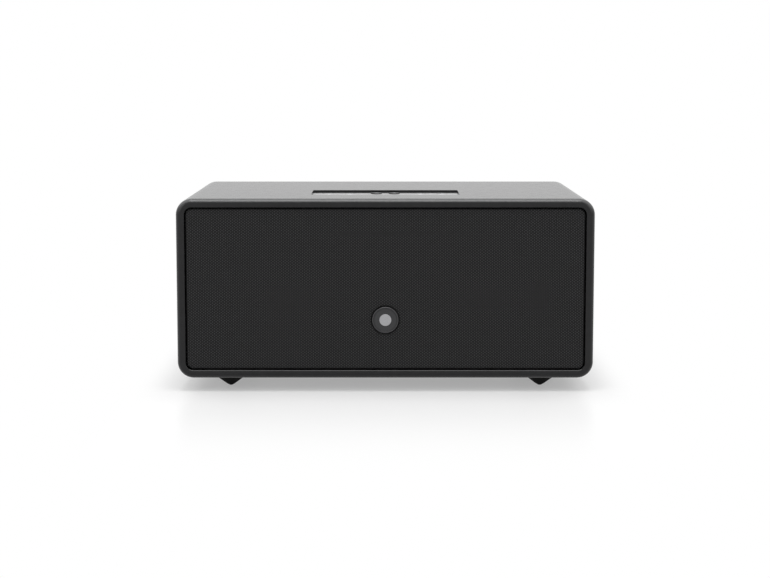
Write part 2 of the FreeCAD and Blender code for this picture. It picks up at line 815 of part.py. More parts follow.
def dome_outline(rim_radius, height, film, rim_depth):
    """Outline of a thin spherical cap whose rim lies at rim_depth. Both faces share one centre."""
    outer = (rim_radius ** 2 + height ** 2) / (2 * height)
    inner = outer - film
    centre_depth = rim_depth - height + outer
    outer_angle = math.asin(rim_radius / outer)
    inner_angle = math.acos((centre_depth - rim_depth) / inner)

    def point(radius, angle):
        return (radius * math.sin(angle), centre_depth - radius * math.cos(angle))

    return [point(outer, 0), (point(outer, outer_angle / 2), point(outer, outer_angle)),
            point(inner, inner_angle), (point(inner, inner_angle / 2), point(inner, 0))]


def half_roll(middle, radius, depth, chords, direction):
    """Corners of a half circle that bulges forward from depth, in the given direction of radius."""
    corners = []
    for n in range(chords + 1):
        angle = math.pi * n / chords
        corners.append((middle - direction * radius * math.cos(angle), depth - radius * math.sin(angle)))
    return corners


def dust_cap():
    """Domed cap over the middle of the cone."""
    rim_depth = cone_depth(dust_cap_radius) - screw_fit
    return turned(dome_outline(dust_cap_radius, dust_cap_height, dust_cap_thickness, rim_depth),
                  WOOFER_FRONT, Y_AXIS)


def spider():
    """Corrugated centring disc between the basket's ledge and the coil former."""
    inner = cone_neck_radius() + spider_thickness
    outer = basket_ledge_inner_radius - spider_rim_gap
    rim = basket_ledge_outer_radius - spider_rim_fit
    step = (outer - inner - spider_land) / (2 * spider_waves)
    collar_front = cone_neck_depth + cone_thickness + spider_thickness
    ridges = [(inner + spider_land + (n + 0.5) * step, spider_wave_height * (-1) ** n)
              for n in range(2 * spider_waves)]
    outline = [(cone_neck_radius(), collar_front), (inner, collar_front), (inner, spider_depth),
               (inner + spider_land, spider_depth)]
    outline += [(radius, spider_depth + rise) for radius, rise in ridges]
    outline += [(outer, spider_depth), (rim, spider_depth), (rim, basket_ledge_depth),
                (outer, basket_ledge_depth)]
    outline += [(radius, basket_ledge_depth + rise) for radius, rise in reversed(ridges)]
    outline += [(inner + spider_land, basket_ledge_depth), (cone_neck_radius(), basket_ledge_depth)]
    return turned(outline, WOOFER_FRONT, Y_AXIS)


def voice_coil():
    """Former in the magnet's gap, with a winding that stays in the gap over the whole travel."""
    winding_front = top_plate_depth - cone_travel
    winding_back = magnet_depth + cone_travel
    inner = former_radius - former_wall
    outline = [(inner, former_front_depth), (former_radius, former_front_depth),
               (former_radius, winding_front), (winding_radius, winding_front),
               (winding_radius, winding_back), (former_radius, winding_back),
               (former_radius, former_back_depth), (inner, former_back_depth)]
    return turned(outline, WOOFER_FRONT, Y_AXIS)


def ring(inner, outer, depth, thickness):
    """Flat ring round the woofer's axis."""
    outline = [(inner, depth), (outer, depth), (outer, depth + thickness), (inner, depth + thickness)]
    return turned(outline, WOOFER_FRONT, Y_AXIS)


def yoke():
    """Back plate with the pole piece that fills the coil, vented through its middle."""
    back = yoke_depth + yoke_plate_thickness
    outline = [(pole_vent_radius, top_plate_depth), (pole_radius, top_plate_depth), (pole_radius, yoke_depth),
               (yoke_plate_radius, yoke_depth), (yoke_plate_radius, back), (pole_vent_radius, back)]
    return turned(outline, WOOFER_FRONT, Y_AXIS)


def woofer_terminals():
    """Insulating strip behind the basket's ledge with two solder tabs."""
    seat_y = baffle_y + basket_ledge_depth + basket_wall
    low_z = mid_z + basket_ledge_inner_radius + basket_wall + board_fit
    high_z = mid_z + basket_ledge_outer_radius + basket_wall
    half = terminal_plate_width / 2
    strip = block(-half, half, seat_y, seat_y + terminal_plate_thickness, low_z, high_z)
    tabs = [block(x, x + terminal_tab_width, seat_y + terminal_tab_thickness,
                  seat_y + 2 * terminal_tab_thickness, high_z - overlap, high_z + terminal_tab_length)
            for x in (-half + terminal_tab_inset, half - terminal_tab_inset - terminal_tab_width)]
    return strip.fuse(tabs).removeSplitter()


def tweeter_plate(x):
    """Flush front plate with a flared mouth and a collar that centres the motor."""
    collar_inner = tweeter_motor_radius + board_fit
    collar_outer = collar_inner + tweeter_collar_wall
    collar_back = tweeter_plate_thickness + tweeter_collar_length
    outline = [(tweeter_mouth_radius, 0), (tweeter_plate_radius, 0),
               (tweeter_plate_radius, tweeter_plate_thickness), (collar_outer, tweeter_plate_thickness),
               (collar_outer, collar_back), (collar_inner, collar_back),
               (collar_inner, tweeter_plate_thickness), (tweeter_throat_radius, tweeter_plate_thickness)]
    plate = turned(outline, FreeCAD.Vector(x, baffle_y, mid_z), Y_AXIS)
    return plate.cut(screw_cuts(tweeter_screw_places(x), tweeter_screw_radius,
                                tweeter_screw_head_radius, tweeter_plate_thickness))


def tweeter_dome(x):
    """Fabric dome with its roll and rim, free to move between plate and motor."""
    film = tweeter_film
    rim_front = tweeter_plate_thickness + tweeter_play
    rim_back = rim_front + film
    roll = tweeter_roll_radius
    roll_inner = tweeter_dome_radius
    roll_middle = roll_inner + roll
    cap = dome_outline(roll_inner, tweeter_dome_height, film, rim_front)
    outline = [cap[0], cap[1]]
    outline += half_roll(roll_middle, roll, rim_front, tweeter_roll_chords, 1)[1:]
    outline += [(tweeter_rim_radius, rim_front), (tweeter_rim_radius, rim_back)]
    outline += half_roll(roll_middle, roll - film, rim_back, tweeter_roll_chords, -1)
    outline += [(cap[2][0], rim_back), cap[2], cap[3]]
    return turned(outline, FreeCAD.Vector(x, baffle_y, mid_z), Y_AXIS)


def tweeter_motor(x):
    """Shielded magnet can with a shallow chamber behind the dome."""
    front = tweeter_plate_thickness + 2 * tweeter_play + tweeter_film
    floor = front + tweeter_chamber_depth
    back = front + tweeter_motor_length
    outline = [(tweeter_throat_radius, front), (tweeter_motor_radius, front),
               (tweeter_motor_radius, back - tweeter_motor_bevel),
               (tweeter_motor_radius - tweeter_motor_bevel, back), (0, back), (0, floor),
               (tweeter_throat_radius, floor)]
    return turned(outline, FreeCAD.Vector(x, baffle_y, mid_z), Y_AXIS)


def port_tube():
    """Reflex tube with a flared mouth, a flange on the rear board and a bevelled inner end."""
    bore = port_bore_radius
    tube = bore + port_wall
    collar = bore + port_collar_wall
    collar_back = port_flange_thickness + rear_board_thickness
    easing = port_flare_radius * (1 - math.sqrt(0.5))
    outline = [(bore, port_flare_radius), ((bore + easing, easing), (bore + port_flare_radius, 0)),
               (port_flange_radius, 0), (port_flange_radius, port_flange_thickness),
               (collar, port_flange_thickness), (collar, collar_back), (tube, collar_back),
               (tube, port_length), (tube - port_end_bevel, port_length),
               (bore, port_length - port_end_bevel)]
    mouth = FreeCAD.Vector(port_x, rear_board_y + port_flange_thickness, mid_z)
    return turned(outline, mouth, -Y_AXIS)


def panel_screw_places():
    """Centre of each screw round the amplifier panel, as (x, z)."""
    half_width = panel_width / 2 - panel_screw_inset
    half_height = panel_height / 2 - panel_screw_inset
    step = 2 * half_width / (panel_screw_columns - 1)
    rows = [(panel_x - half_width + n * step, mid_z + level * half_height)
            for n in range(panel_screw_columns) for level in (-1, 1)]
    return rows + [(panel_x + side * half_width, mid_z) for side in (-1, 1)]


def amp_post_places():
    """Centre of each post that carries the amplifier board, as (x, z)."""
    height = amp_board_height / 2 - post_inset
    half_width = amp_board_width / 2 - post_inset
    return [(amp_board_x + side * half_width, mid_z + level * height)
            for side in (-1, 1) for level in (-1, 1)]


def amp_panel():
    """Moulded rear panel with a sunk bay for the sockets and posts for the amplifier board."""
    plate = rounded_plate(panel_width / 2, panel_height / 2, panel_corner_radius,
                          panel_seat_y, panel_face_y, panel_x)
    tub = rounded_plate(bay_width / 2 + panel_thickness, bay_height / 2 + panel_thickness,
                        bay_corner_radius + panel_thickness, bay_back_y, panel_seat_y + overlap,
                        panel_x, bay_z)
    posts = [rod(x, z, post_radius, amp_board_y, post_root_y(x, z)) for x, z in amp_post_places()]
    bay = rounded_plate(bay_width / 2, bay_height / 2, bay_corner_radius, bay_floor_y,
                        panel_face_y, panel_x, bay_z)
    cuts = [bay] + socket_holes()
    for x, z in panel_screw_places():
        cuts.append(rod(x, z, panel_screw_radius + screw_fit, panel_seat_y, panel_face_y))
    for x, z in amp_post_places():
        cuts.append(rod(x, z, board_screw_radius + screw_fit, amp_board_y,
                        amp_front_y + board_screw_length + screw_fit))
    return plate.fuse([tub] + posts).cut(cuts).removeSplitter()


def post_root_y(x, z):
    """Depth that a post reaches into: the bay's floor, or the panel beside the bay."""
    inside_bay = abs(z - bay_z) < bay_height / 2 and abs(x - panel_x) < bay_width / 2
    return overlap + (bay_back_y if inside_bay else panel_seat_y)


def socket_holes():
    """Holes in the bay's floor for the sockets."""
    gap = 2 * socket_clearance
    holes = [block_on((inlet_x, bay_z), inlet_body[0] + gap, inlet_body[1] + gap, bay_back_y, bay_floor_y),
             block_on((usb_x, bay_z), usb_body[0] + gap, usb_body[1] + gap, bay_back_y, bay_floor_y),
             block_on((network_x, bay_z), network_body[0] + gap, network_body[1] + gap,
                      bay_back_y, bay_floor_y)]
    holes += [rod(x, bay_z, phono_barrel_radius + socket_clearance, bay_back_y, bay_floor_y) for x in phono_x]
    return holes


def panel_seal():
    """Foam gasket between the amplifier panel and the rear board."""
    outer = rounded_plate(panel_width / 2 - board_fit, panel_height / 2 - board_fit,
                          panel_corner_radius, rear_board_y, panel_seat_y, panel_x)
    inner = rounded_plate(panel_width / 2 - panel_gasket_width, panel_height / 2 - panel_gasket_width,
                          panel_corner_radius, rear_board_y, panel_seat_y, panel_x)
    holes = [rod(x, z, panel_screw_radius + screw_fit, rear_board_y, panel_seat_y)
             for x, z in panel_screw_places()]
    return outer.cut([inner] + holes)


def panel_screws():
    """Pan-head screws round the amplifier panel."""
    outline = [(0, -panel_screw_head_height), (panel_screw_head_radius - panel_screw_head_bevel,
                                               -panel_screw_head_height),
               (panel_screw_head_radius, 0), (panel_screw_radius, 0),
               (panel_screw_radius, panel_screw_length), (0, panel_screw_length)]
    return [turned(outline, FreeCAD.Vector(x, panel_face_y, z), -Y_AXIS) for x, z in panel_screw_places()]


def amp_board():
    """Circuit board on the posts of the rear panel."""
    board = block_on((amp_board_x, mid_z), amp_board_width, amp_board_height, amp_front_y, amp_board_y)
    return board.cut([rod(x, z, board_screw_radius + screw_fit, amp_front_y, amp_board_y)
                      for x, z in amp_post_places()])


def on_board(place):
    """Point of the amplifier board at a distance to the right of and above its middle, as (x, z)."""
    return (amp_board_x + place[0], mid_z + place[1])


def power_transformer():
    """Ferrite core with its wound bobbin."""
    width, depth, height = transformer_size
    place = on_board(transformer_place)
    core = block_on(place, width, transformer_core_width, amp_front_y - depth, amp_front_y)
    winding = block_on(place, width - transformer_core_width, height,
                       amp_front_y - depth + transformer_winding_setback, amp_front_y)
    return core.fuse(winding).removeSplitter()


def amp_capacitors():
    """Upright smoothing capacitors."""
    outline = [(0, 0), (capacitor_radius, 0), (capacitor_radius, capacitor_length), (0, capacitor_length)]
    made = []
    for place in capacitor_places:
        x, z = on_board(place)
        made.append(turned(outline, FreeCAD.Vector(x, amp_front_y, z), -Y_AXIS))
    return made


def heatsink():
    """Finned aluminium block on the amplifier chip."""
    width, depth, height = heatsink_size
    x, z = on_board(heatsink_place)
    base = block_on((x, z), width, height, amp_front_y - heatsink_base, amp_front_y)
    step = (width - heatsink_fin_thickness) / (heatsink_fins - 1)
    first = x - width / 2 + heatsink_fin_thickness / 2
    fin_root_y = amp_front_y - heatsink_base + overlap
    fins = [block_on((first + n * step, z), heatsink_fin_thickness, height, amp_front_y - depth, fin_root_y)
            for n in range(heatsink_fins)]
    return base.fuse(fins).removeSplitter()


def wireless_module():
    """Small radio board with a shielding can."""
    width, depth, height = wireless_size
    place = on_board(wireless_place)
    board = block_on(place, width, height, amp_front_y - wireless_board_thickness, amp_front_y)
    can = block_on(place, width - 2 * wireless_can_margin, height - 2 * wireless_can_margin,
                   amp_front_y - depth, amp_front_y - wireless_board_thickness / 2)
    return board.fuse(can).removeSplitter()


def mains_inlet():
    """Two-pin mains inlet, snapped into the bay's floor."""
    width, height, lip = inlet_flange
    face = bay_floor_y + lip
    floor = face - inlet_cavity[2]
    flange = rounded_plate(width / 2, height / 2, inlet_flange_radius, bay_floor_y, face, inlet_x, bay_z)
    body = block_on((inlet_x, bay_z), inlet_body[0], inlet_body[1], face - inlet_body[2], face)
    cavity = rounded_plate(inlet_cavity[0] / 2, inlet_cavity[1] / 2, inlet_cavity_radius,
                           floor, face, inlet_x, bay_z)
    pins = [rod(inlet_x + side * inlet_pin_spacing / 2, bay_z, inlet_pin_radius, floor - overlap,
                floor + inlet_pin_length) for side in (-1, 1)]
    return flange.fuse(body).cut(cavity).fuse(pins).removeSplitter()


def phono_sockets():
    """Row of phono jacks, each with a block on the board and a barrel in the bay."""
    face = bay_floor_y + phono_barrel_length
    made = []
    for x in phono_x:
        outline = [(phono_hole_radius, 0), (phono_barrel_radius, 0),
                   (phono_barrel_radius, phono_barrel_length - phono_collar_length),
                   (phono_collar_radius, phono_barrel_length - phono_collar_length),
                   (phono_collar_radius, phono_barrel_length), (phono_barrel_radius, phono_barrel_length),
                   (phono_barrel_radius, face - bay_back_y + overlap), (0, face - bay_back_y + overlap),
                   (0, phono_hole_depth), (phono_hole_radius, phono_hole_depth)]
        barrel = turned(outline, FreeCAD.Vector(x, face, bay_z), -Y_AXIS)
        base = block_on((x, bay_z), phono_block[0], phono_block[1], amp_board_y,
                        bay_back_y - socket_clearance)
        made.append(barrel.fuse(base).removeSplitter())
    return made


def usb_socket():
    """Service and charging socket with its contact tongue."""
    face = bay_floor_y + usb_body[2]
    body = block_on((usb_x, bay_z), usb_body[0], usb_body[1], amp_board_y, face)
    cavity = block_on((usb_x, bay_z), usb_cavity[0], usb_cavity[1], face - usb_cavity[2], face)
    tongue = block_on((usb_x + usb_tongue_offset, bay_z), usb_tongue[0], usb_tongue[1],
                      face - usb_cavity[2] - overlap, face - usb_tongue_setback)
    return body.cut(cavity).fuse(tongue).removeSplitter()


def network_socket():
    """Network socket with the notch for the plug's latch."""
    face = bay_floor_y + network_body[2]
    body = block_on((network_x, bay_z), network_body[0], network_body[1], amp_board_y, face)
    cavity_z = bay_z - network_cavity_drop
    cavity = block_on((network_x, cavity_z), network_cavity[0], network_cavity[1],
                      face - network_cavity[2], face)
    latch_z = cavity_z + (network_cavity[1] + network_latch[1]) / 2
    latch = block_on((network_x, latch_z), network_latch[0], network_latch[1],
                     face - network_cavity[2], face)
    return body.cut([cavity, latch])


def wadding():
    """Blanket of damping wadding on the floor of the cabinet."""
    half_length = body_width / 2 - wall - wadding_side_gap
    floor_z = base_z + wall + wadding_lift
    blanket = block(-half_length, half_length, baffle_back_y + wadding_front_gap,
                    rear_board_inner_y - wadding_rear_gap, floor_z, floor_z + wadding_thickness)
    return blanket.makeFillet(wadding_corner_radius, edges_along(blanket, Z_AXIS))


def rounded_path(points, radius):
    """Wire through the points, with an arc of the given radius at each corner."""
    edges = []
    here = points[0]
    for before, corner, after in zip(points, points[1:], points[2:]):
        into = (corner - before).normalize()
        out = (after - corner).normalize()
        half_turn = into.getAngle(out) / 2
        start = corner - into * (radius * math.tan(half_turn))
        end = corner + out * (radius * math.tan(half_turn))
        inward = (out - into).normalize()
        middle = corner + inward * (radius / math.cos(half_turn) - radius)
        edges.append(Part.LineSegment(here, start).toShape())
        edges.append(Part.Arc(start, middle, end).toShape())
        here = end
    edges.append(Part.LineSegment(here, points[-1]).toShape())
    return Part.Wire(edges)


def lead(points):
    """Insulated lead along a route given as (x, y, z) points."""
    route = [FreeCAD.Vector(*point) for point in points]
    section = Part.Wire(Part.makeCircle(lead_radius, route[0], route[1] - route[0]))
    return rounded_path(route, lead_bend).makePipeShell([section], True, False)


def woofer_leads():
    """Leads that pass over the magnet from the amplifier board to the woofer's tabs."""
    start_z = mid_z + woofer_lead_start_height
    high_z = top_z - wall - lead_ceiling_gap
    tab_y = baffle_y + basket_ledge_depth + basket_wall + 3 * terminal_tab_thickness / 2
    tab_z = mid_z + basket_ledge_outer_radius + basket_wall + terminal_tab_length
    tab_x = terminal_plate_width / 2 - terminal_tab_inset - terminal_tab_width / 2
    return [lead([(x, amp_front_y, start_z), (x, amp_front_y - woofer_lead_run_out, start_z),
                  (x, baffle_back_y + woofer_lead_run_out, high_z), (x, tab_y, high_z),
                  (x, tab_y, tab_z + lead_end_gap)]) for x in (-tab_x, tab_x)]


def tweeter_lead(start_x, x):
    """Lead from the amplifier board at start_x to the back of the tweeter at x."""
    start_z = mid_z + tweeter_lead_start_height
    motor_y = baffle_y + tweeter_plate_thickness + 2 * tweeter_play + tweeter_film + tweeter_motor_length
    end_z = mid_z + tweeter_lead_height
    return lead([(start_x, amp_front_y, start_z), (start_x, amp_front_y - tweeter_lead_run_out, start_z),
                 (x, 0, start_z), (x, motor_y + tweeter_lead_drop_gap, start_z),
                 (x, motor_y + tweeter_lead_run_in, end_z), (x, motor_y + lead_end_gap, end_z)])


def speaker_leads():
    """Leads from the amplifier board to the three drivers."""
    return woofer_leads() + [tweeter_lead(amp_board_x + tweeter_lead_left_start, -tweeter_x),
                             tweeter_lead(amp_board_x + tweeter_lead_right_start, tweeter_x)]


def export(nodes):
    """Writes one file for each node."""
    os.makedirs("parts", exist_ok=True)
    for name, solids in nodes.items():
        shape = Part.makeCompound(solids) if isinstance(solids, list) else solids
        shape.exportStep("parts/" + name + ".step")


def main():
    """Builds every node and writes it."""
    nodes = {
        "cabinet_sleeve": cabinet(),
        "front_baffle": baffle(),
        "rear_board": rear_board(),
        "grille_frame": grille_frame(),
        "grille_cloth": grille_cloth(),
        "grille_sockets": grille_sockets(),
        "badge_disc": badge(),
        "badge_inlay": badge_inlay(),
        "deck_plate": deck_plate(),
        "control_board": control_board(),
        "key_switches": key_switches(),
        "woofer_basket": basket(),
        "woofer_gasket": driver_gasket(),
        "woofer_surround": surround(),
        "woofer_cone": cone(),
        "woofer_dust_cap": dust_cap(),
        "woofer_spider": spider(),
        "woofer_voice_coil": voice_coil(),
        "woofer_top_plate": ring(winding_radius + coil_gap, top_plate_radius, top_plate_depth,
                                 top_plate_thickness),
        "woofer_magnet": ring(magnet_hole_radius, magnet_radius, magnet_depth, magnet_thickness),
        "woofer_yoke": yoke(),
        "woofer_terminals": woofer_terminals(),
        "woofer_screws": countersunk_screws(woofer_screw_places(), woofer_screw_radius,
                                            woofer_screw_head_radius, woofer_screw_length),
        "tweeter_screws": countersunk_screws(
            tweeter_screw_places(-tweeter_x) + tweeter_screw_places(tweeter_x),
            tweeter_screw_radius, tweeter_screw_head_radius, tweeter_screw_length),
        "port_tube": port_tube(),
        "amp_panel": amp_panel(),
        "panel_seal": panel_seal(),
        "panel_screws": panel_screws(),
        "board_screws": board_screws(),
        "amp_board": amp_board(),
        "power_transformer": power_transformer(),
        "amp_capacitors": amp_capacitors(),
        "heatsink": heatsink(),
        "wireless_module": wireless_module(),
        "mains_inlet": mains_inlet(),
        "phono_sockets": phono_sockets(),
        "usb_socket": usb_socket(),
        "network_socket": network_socket(),
        "damping_wadding": wadding(),
        "speaker_leads": speaker_leads(),
    }
    for side, x in (("left", -tweeter_x), ("right", tweeter_x)):
        nodes["tweeter_plate_" + side] = tweeter_plate(x)
        nodes["tweeter_dome_" + side] = tweeter_dome(x)
        nodes["tweeter_motor_" + side] = tweeter_motor(x)
    for name, place in foot_places().items():
        nodes[name] = foot(place)
    nodes.update(keys())
    export(nodes)


main()
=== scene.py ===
"""Looks of a wireless speaker: finishes, cloth, keys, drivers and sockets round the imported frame."""

import json
import logging
import math
from collections.abc import Sequence
from dataclasses import dataclass, field
from enum import Enum
from functools import reduce
from typing import ClassVar

import bmesh
import bpy
from bmesh.types import BMesh, BMFace
from bpy.types import Material, Mesh, Node, NodeSocket, NodeTree, Object, World
from mathutils import Matrix, Vector, noise

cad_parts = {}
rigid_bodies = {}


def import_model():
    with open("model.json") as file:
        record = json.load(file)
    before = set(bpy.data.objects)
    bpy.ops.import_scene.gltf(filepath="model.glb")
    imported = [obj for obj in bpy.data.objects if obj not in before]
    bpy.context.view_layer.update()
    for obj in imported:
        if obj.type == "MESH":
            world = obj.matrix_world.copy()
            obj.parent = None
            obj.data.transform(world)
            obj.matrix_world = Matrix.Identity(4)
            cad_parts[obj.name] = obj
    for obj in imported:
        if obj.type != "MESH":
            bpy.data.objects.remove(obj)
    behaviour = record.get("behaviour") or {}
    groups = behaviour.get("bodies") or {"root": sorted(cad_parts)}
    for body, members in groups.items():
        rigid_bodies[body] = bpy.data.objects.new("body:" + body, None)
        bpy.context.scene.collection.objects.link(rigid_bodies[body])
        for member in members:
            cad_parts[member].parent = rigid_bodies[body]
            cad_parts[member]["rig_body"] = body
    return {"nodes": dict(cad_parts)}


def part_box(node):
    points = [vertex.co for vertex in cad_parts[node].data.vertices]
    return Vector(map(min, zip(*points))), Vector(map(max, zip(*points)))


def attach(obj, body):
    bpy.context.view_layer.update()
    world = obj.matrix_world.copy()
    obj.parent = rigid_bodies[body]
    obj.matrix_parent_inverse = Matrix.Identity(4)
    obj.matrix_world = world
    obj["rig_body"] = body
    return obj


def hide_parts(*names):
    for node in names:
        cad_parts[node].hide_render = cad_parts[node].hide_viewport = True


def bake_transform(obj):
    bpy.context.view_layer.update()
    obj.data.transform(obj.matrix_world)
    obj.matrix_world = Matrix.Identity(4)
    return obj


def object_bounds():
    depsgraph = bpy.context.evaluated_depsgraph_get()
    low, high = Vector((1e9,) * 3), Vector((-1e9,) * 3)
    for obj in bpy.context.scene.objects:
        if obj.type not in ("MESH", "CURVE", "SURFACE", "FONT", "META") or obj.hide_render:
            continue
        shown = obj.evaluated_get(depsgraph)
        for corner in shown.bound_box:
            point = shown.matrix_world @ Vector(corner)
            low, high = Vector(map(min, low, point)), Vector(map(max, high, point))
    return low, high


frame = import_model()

log = logging.getLogger("speaker")

Colour = tuple[float, float, float]
Point = tuple[float, float, float]
Outline = Sequence[tuple[float, float]]
Socket = NodeSocket | float | Colour
Sockets = dict[str, NodeSocket]
CAD_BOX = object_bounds()
MERGE_DISTANCE = 2e-6
POLE_DISTANCE = 1e-7
EDGE_SEGMENTS = 2
FLAT_ANGLE = math.radians(0.4)
HARD_ANGLE = 35.0
SOFT_ANGLE = 60.0
WHITE = (1.0, 1.0, 1.0, 1.0)


def middle(node: str) -> Vector:
    """Middle of a CAD node's box."""
    low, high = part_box(node)
    return (low + high) / 2


BADGE_CENTRE = tuple(middle("badge_disc"))


class Axis(Enum):
    """Direction that a flat or turned piece faces, in the row frame."""

    UP = (0.0, 0.0, 1.0)
    FRONT = (0.0, -1.0, 0.0)
    REAR = (0.0, 1.0, 0.0)

    def turn(self) -> Matrix:
        """Rotation that takes +Z to this direction, with a picture's up side kept up."""
        raised = Matrix.Identity(4) if self is Axis.UP else Matrix.Rotation(math.pi / 2, 4, "X")
        return Matrix.Rotation(math.pi, 4, "Z") @ raised if self is Axis.REAR else raised


def spot(x: float, y: float, angle: float) -> Matrix:
    """Place in the plane of a sign, turned by an angle in degrees."""
    return Matrix.Translation((x, y, 0.0)) @ Matrix.Rotation(math.radians(angle), 4, "Z")


@dataclass(frozen=True)
class Bar:
    """Bar of a sign, in shares of the sign's size."""

    x: float
    y: float
    length: float
    width: float
    angle: float = 0.0

    def add(self, bm: BMesh) -> None:
        """Adds the bar to a flat mesh."""
        place = spot(self.x, self.y, self.angle) @ Matrix.Diagonal((self.length, self.width, 1.0, 1.0))
        bmesh.ops.create_grid(bm, x_segments=1, y_segments=1, size=0.5, matrix=place)


@dataclass(frozen=True)
class Arrow:
    """Solid triangle of a sign, which points at an angle from straight right."""

    x: float
    y: float
    radius: float
    angle: float = 0.0

    def add(self, bm: BMesh) -> None:
        """Adds the triangle to a flat mesh."""
        place = spot(self.x, self.y, self.angle - 90)
        bmesh.ops.create_circle(bm, cap_ends=True, segments=3, radius=self.radius, matrix=place)


@dataclass(frozen=True)
class Arc:
    """Part of a ring in a sign, with angles in degrees."""

    radius: float
    width: float
    start: float
    sweep: float
    x: float = 0.0
    y: float = 0.0
    steps: ClassVar[int] = 28

    def add(self, bm: BMesh) -> None:
        """Adds the part of a ring to a flat mesh.

        Args:
            bm: The mesh.
        """
        place = spot(self.x, self.y, self.start)
        ends = [bm.verts.new(place @ Vector((reach, 0.0, 0.0)))
                for reach in (self.radius - self.width / 2, self.radius + self.width / 2)]
        bmesh.ops.spin(bm, geom=ends + [bm.edges.new(ends)], cent=(self.x, self.y, 0), axis=(0, 0, 1),
                       dvec=(0, 0, 0), angle=math.radians(self.sweep), steps=self.steps,
                       use_merge=self.sweep >= 360, use_normal_flip=False, use_duplicate=False)


@dataclass(frozen=True)
class Digit:
    """Number in the plain built-in font."""

    text: str
    size: ClassVar[float] = 1.25
    steps: ClassVar[int] = 5

    def add(self, bm: BMesh) -> None:
        """Adds the number to a flat mesh.

        Args:
            bm: The mesh.
        """
        text = bpy.data.curves.new("number", "FONT")
        text.body = self.text
        text.size = self.size
        text.align_x = text.align_y = "CENTER"
        text.resolution_u = self.steps
        holder = bpy.data.objects.new("number", text)
        flat = bpy.data.meshes.new_from_object(holder)
        bm.from_mesh(flat)
        bpy.data.objects.remove(holder)
        bpy.data.curves.remove(text)
        bpy.data.meshes.remove(flat)


class Symbol(Enum):
    """Plain sign printed on a key or beside a socket, as the strokes that draw it about one unit across."""

    POWER = (Arc(0.4, 0.11, 120, 300), Bar(0.0, 0.32, 0.11, 0.45))
    ARROW_IN = (Bar(-0.12, 0.0, 0.5, 0.1), Arrow(0.14, 0.0, 0.2), Bar(0.42, 0.0, 0.1, 0.8))
    ARROW_OUT = (Bar(-0.42, 0.0, 0.1, 0.8), Bar(-0.05, 0.0, 0.5, 0.1), Arrow(0.3, 0.0, 0.2))
    MINUS = (Bar(0.0, 0.0, 0.8, 0.13),)
    PLUS = (Bar(0.0, 0.0, 0.8, 0.13), Bar(0.0, 0.235, 0.13, 0.33), Bar(0.0, -0.235, 0.13, 0.33))
    PLAY_PAUSE = (Arrow(-0.22, 0.0, 0.33), Bar(0.22, 0.0, 0.11, 0.56), Bar(0.42, 0.0, 0.11, 0.56))
    NEXT = (Arrow(-0.24, 0.0, 0.29), Arrow(0.16, 0.0, 0.29), Bar(0.44, 0.0, 0.1, 0.5))
    ONE = (Digit("1"),)
    TWO = (Digit("2"),)
    THREE = (Digit("3"),)
    FOUR = (Digit("4"),)
    WAVE = (Arc(0.2, 0.1, 0, 180, x=-0.2), Arc(0.2, 0.1, 180, 180, x=0.2))
    NETWORK = (Bar(0.0, 0.3, 0.26, 0.26), Bar(-0.3, -0.3, 0.26, 0.26), Bar(0.3, -0.3, 0.26, 0.26),
               Bar(0.0, 0.08, 0.07, 0.16), Bar(0.0, -0.03, 0.67, 0.07), Bar(-0.3, -0.12, 0.07, 0.1),
               Bar(0.3, -0.12, 0.07, 0.1))
    FORK = (Bar(0.0, 0.0, 0.08, 0.8), Arrow(0.0, 0.45, 0.14, 90), Arc(0.1, 0.1, 0, 360, y=-0.45),
            Bar(0.2, 0.05, 0.32, 0.07, 30), Bar(-0.2, -0.1, 0.32, 0.07, 150))


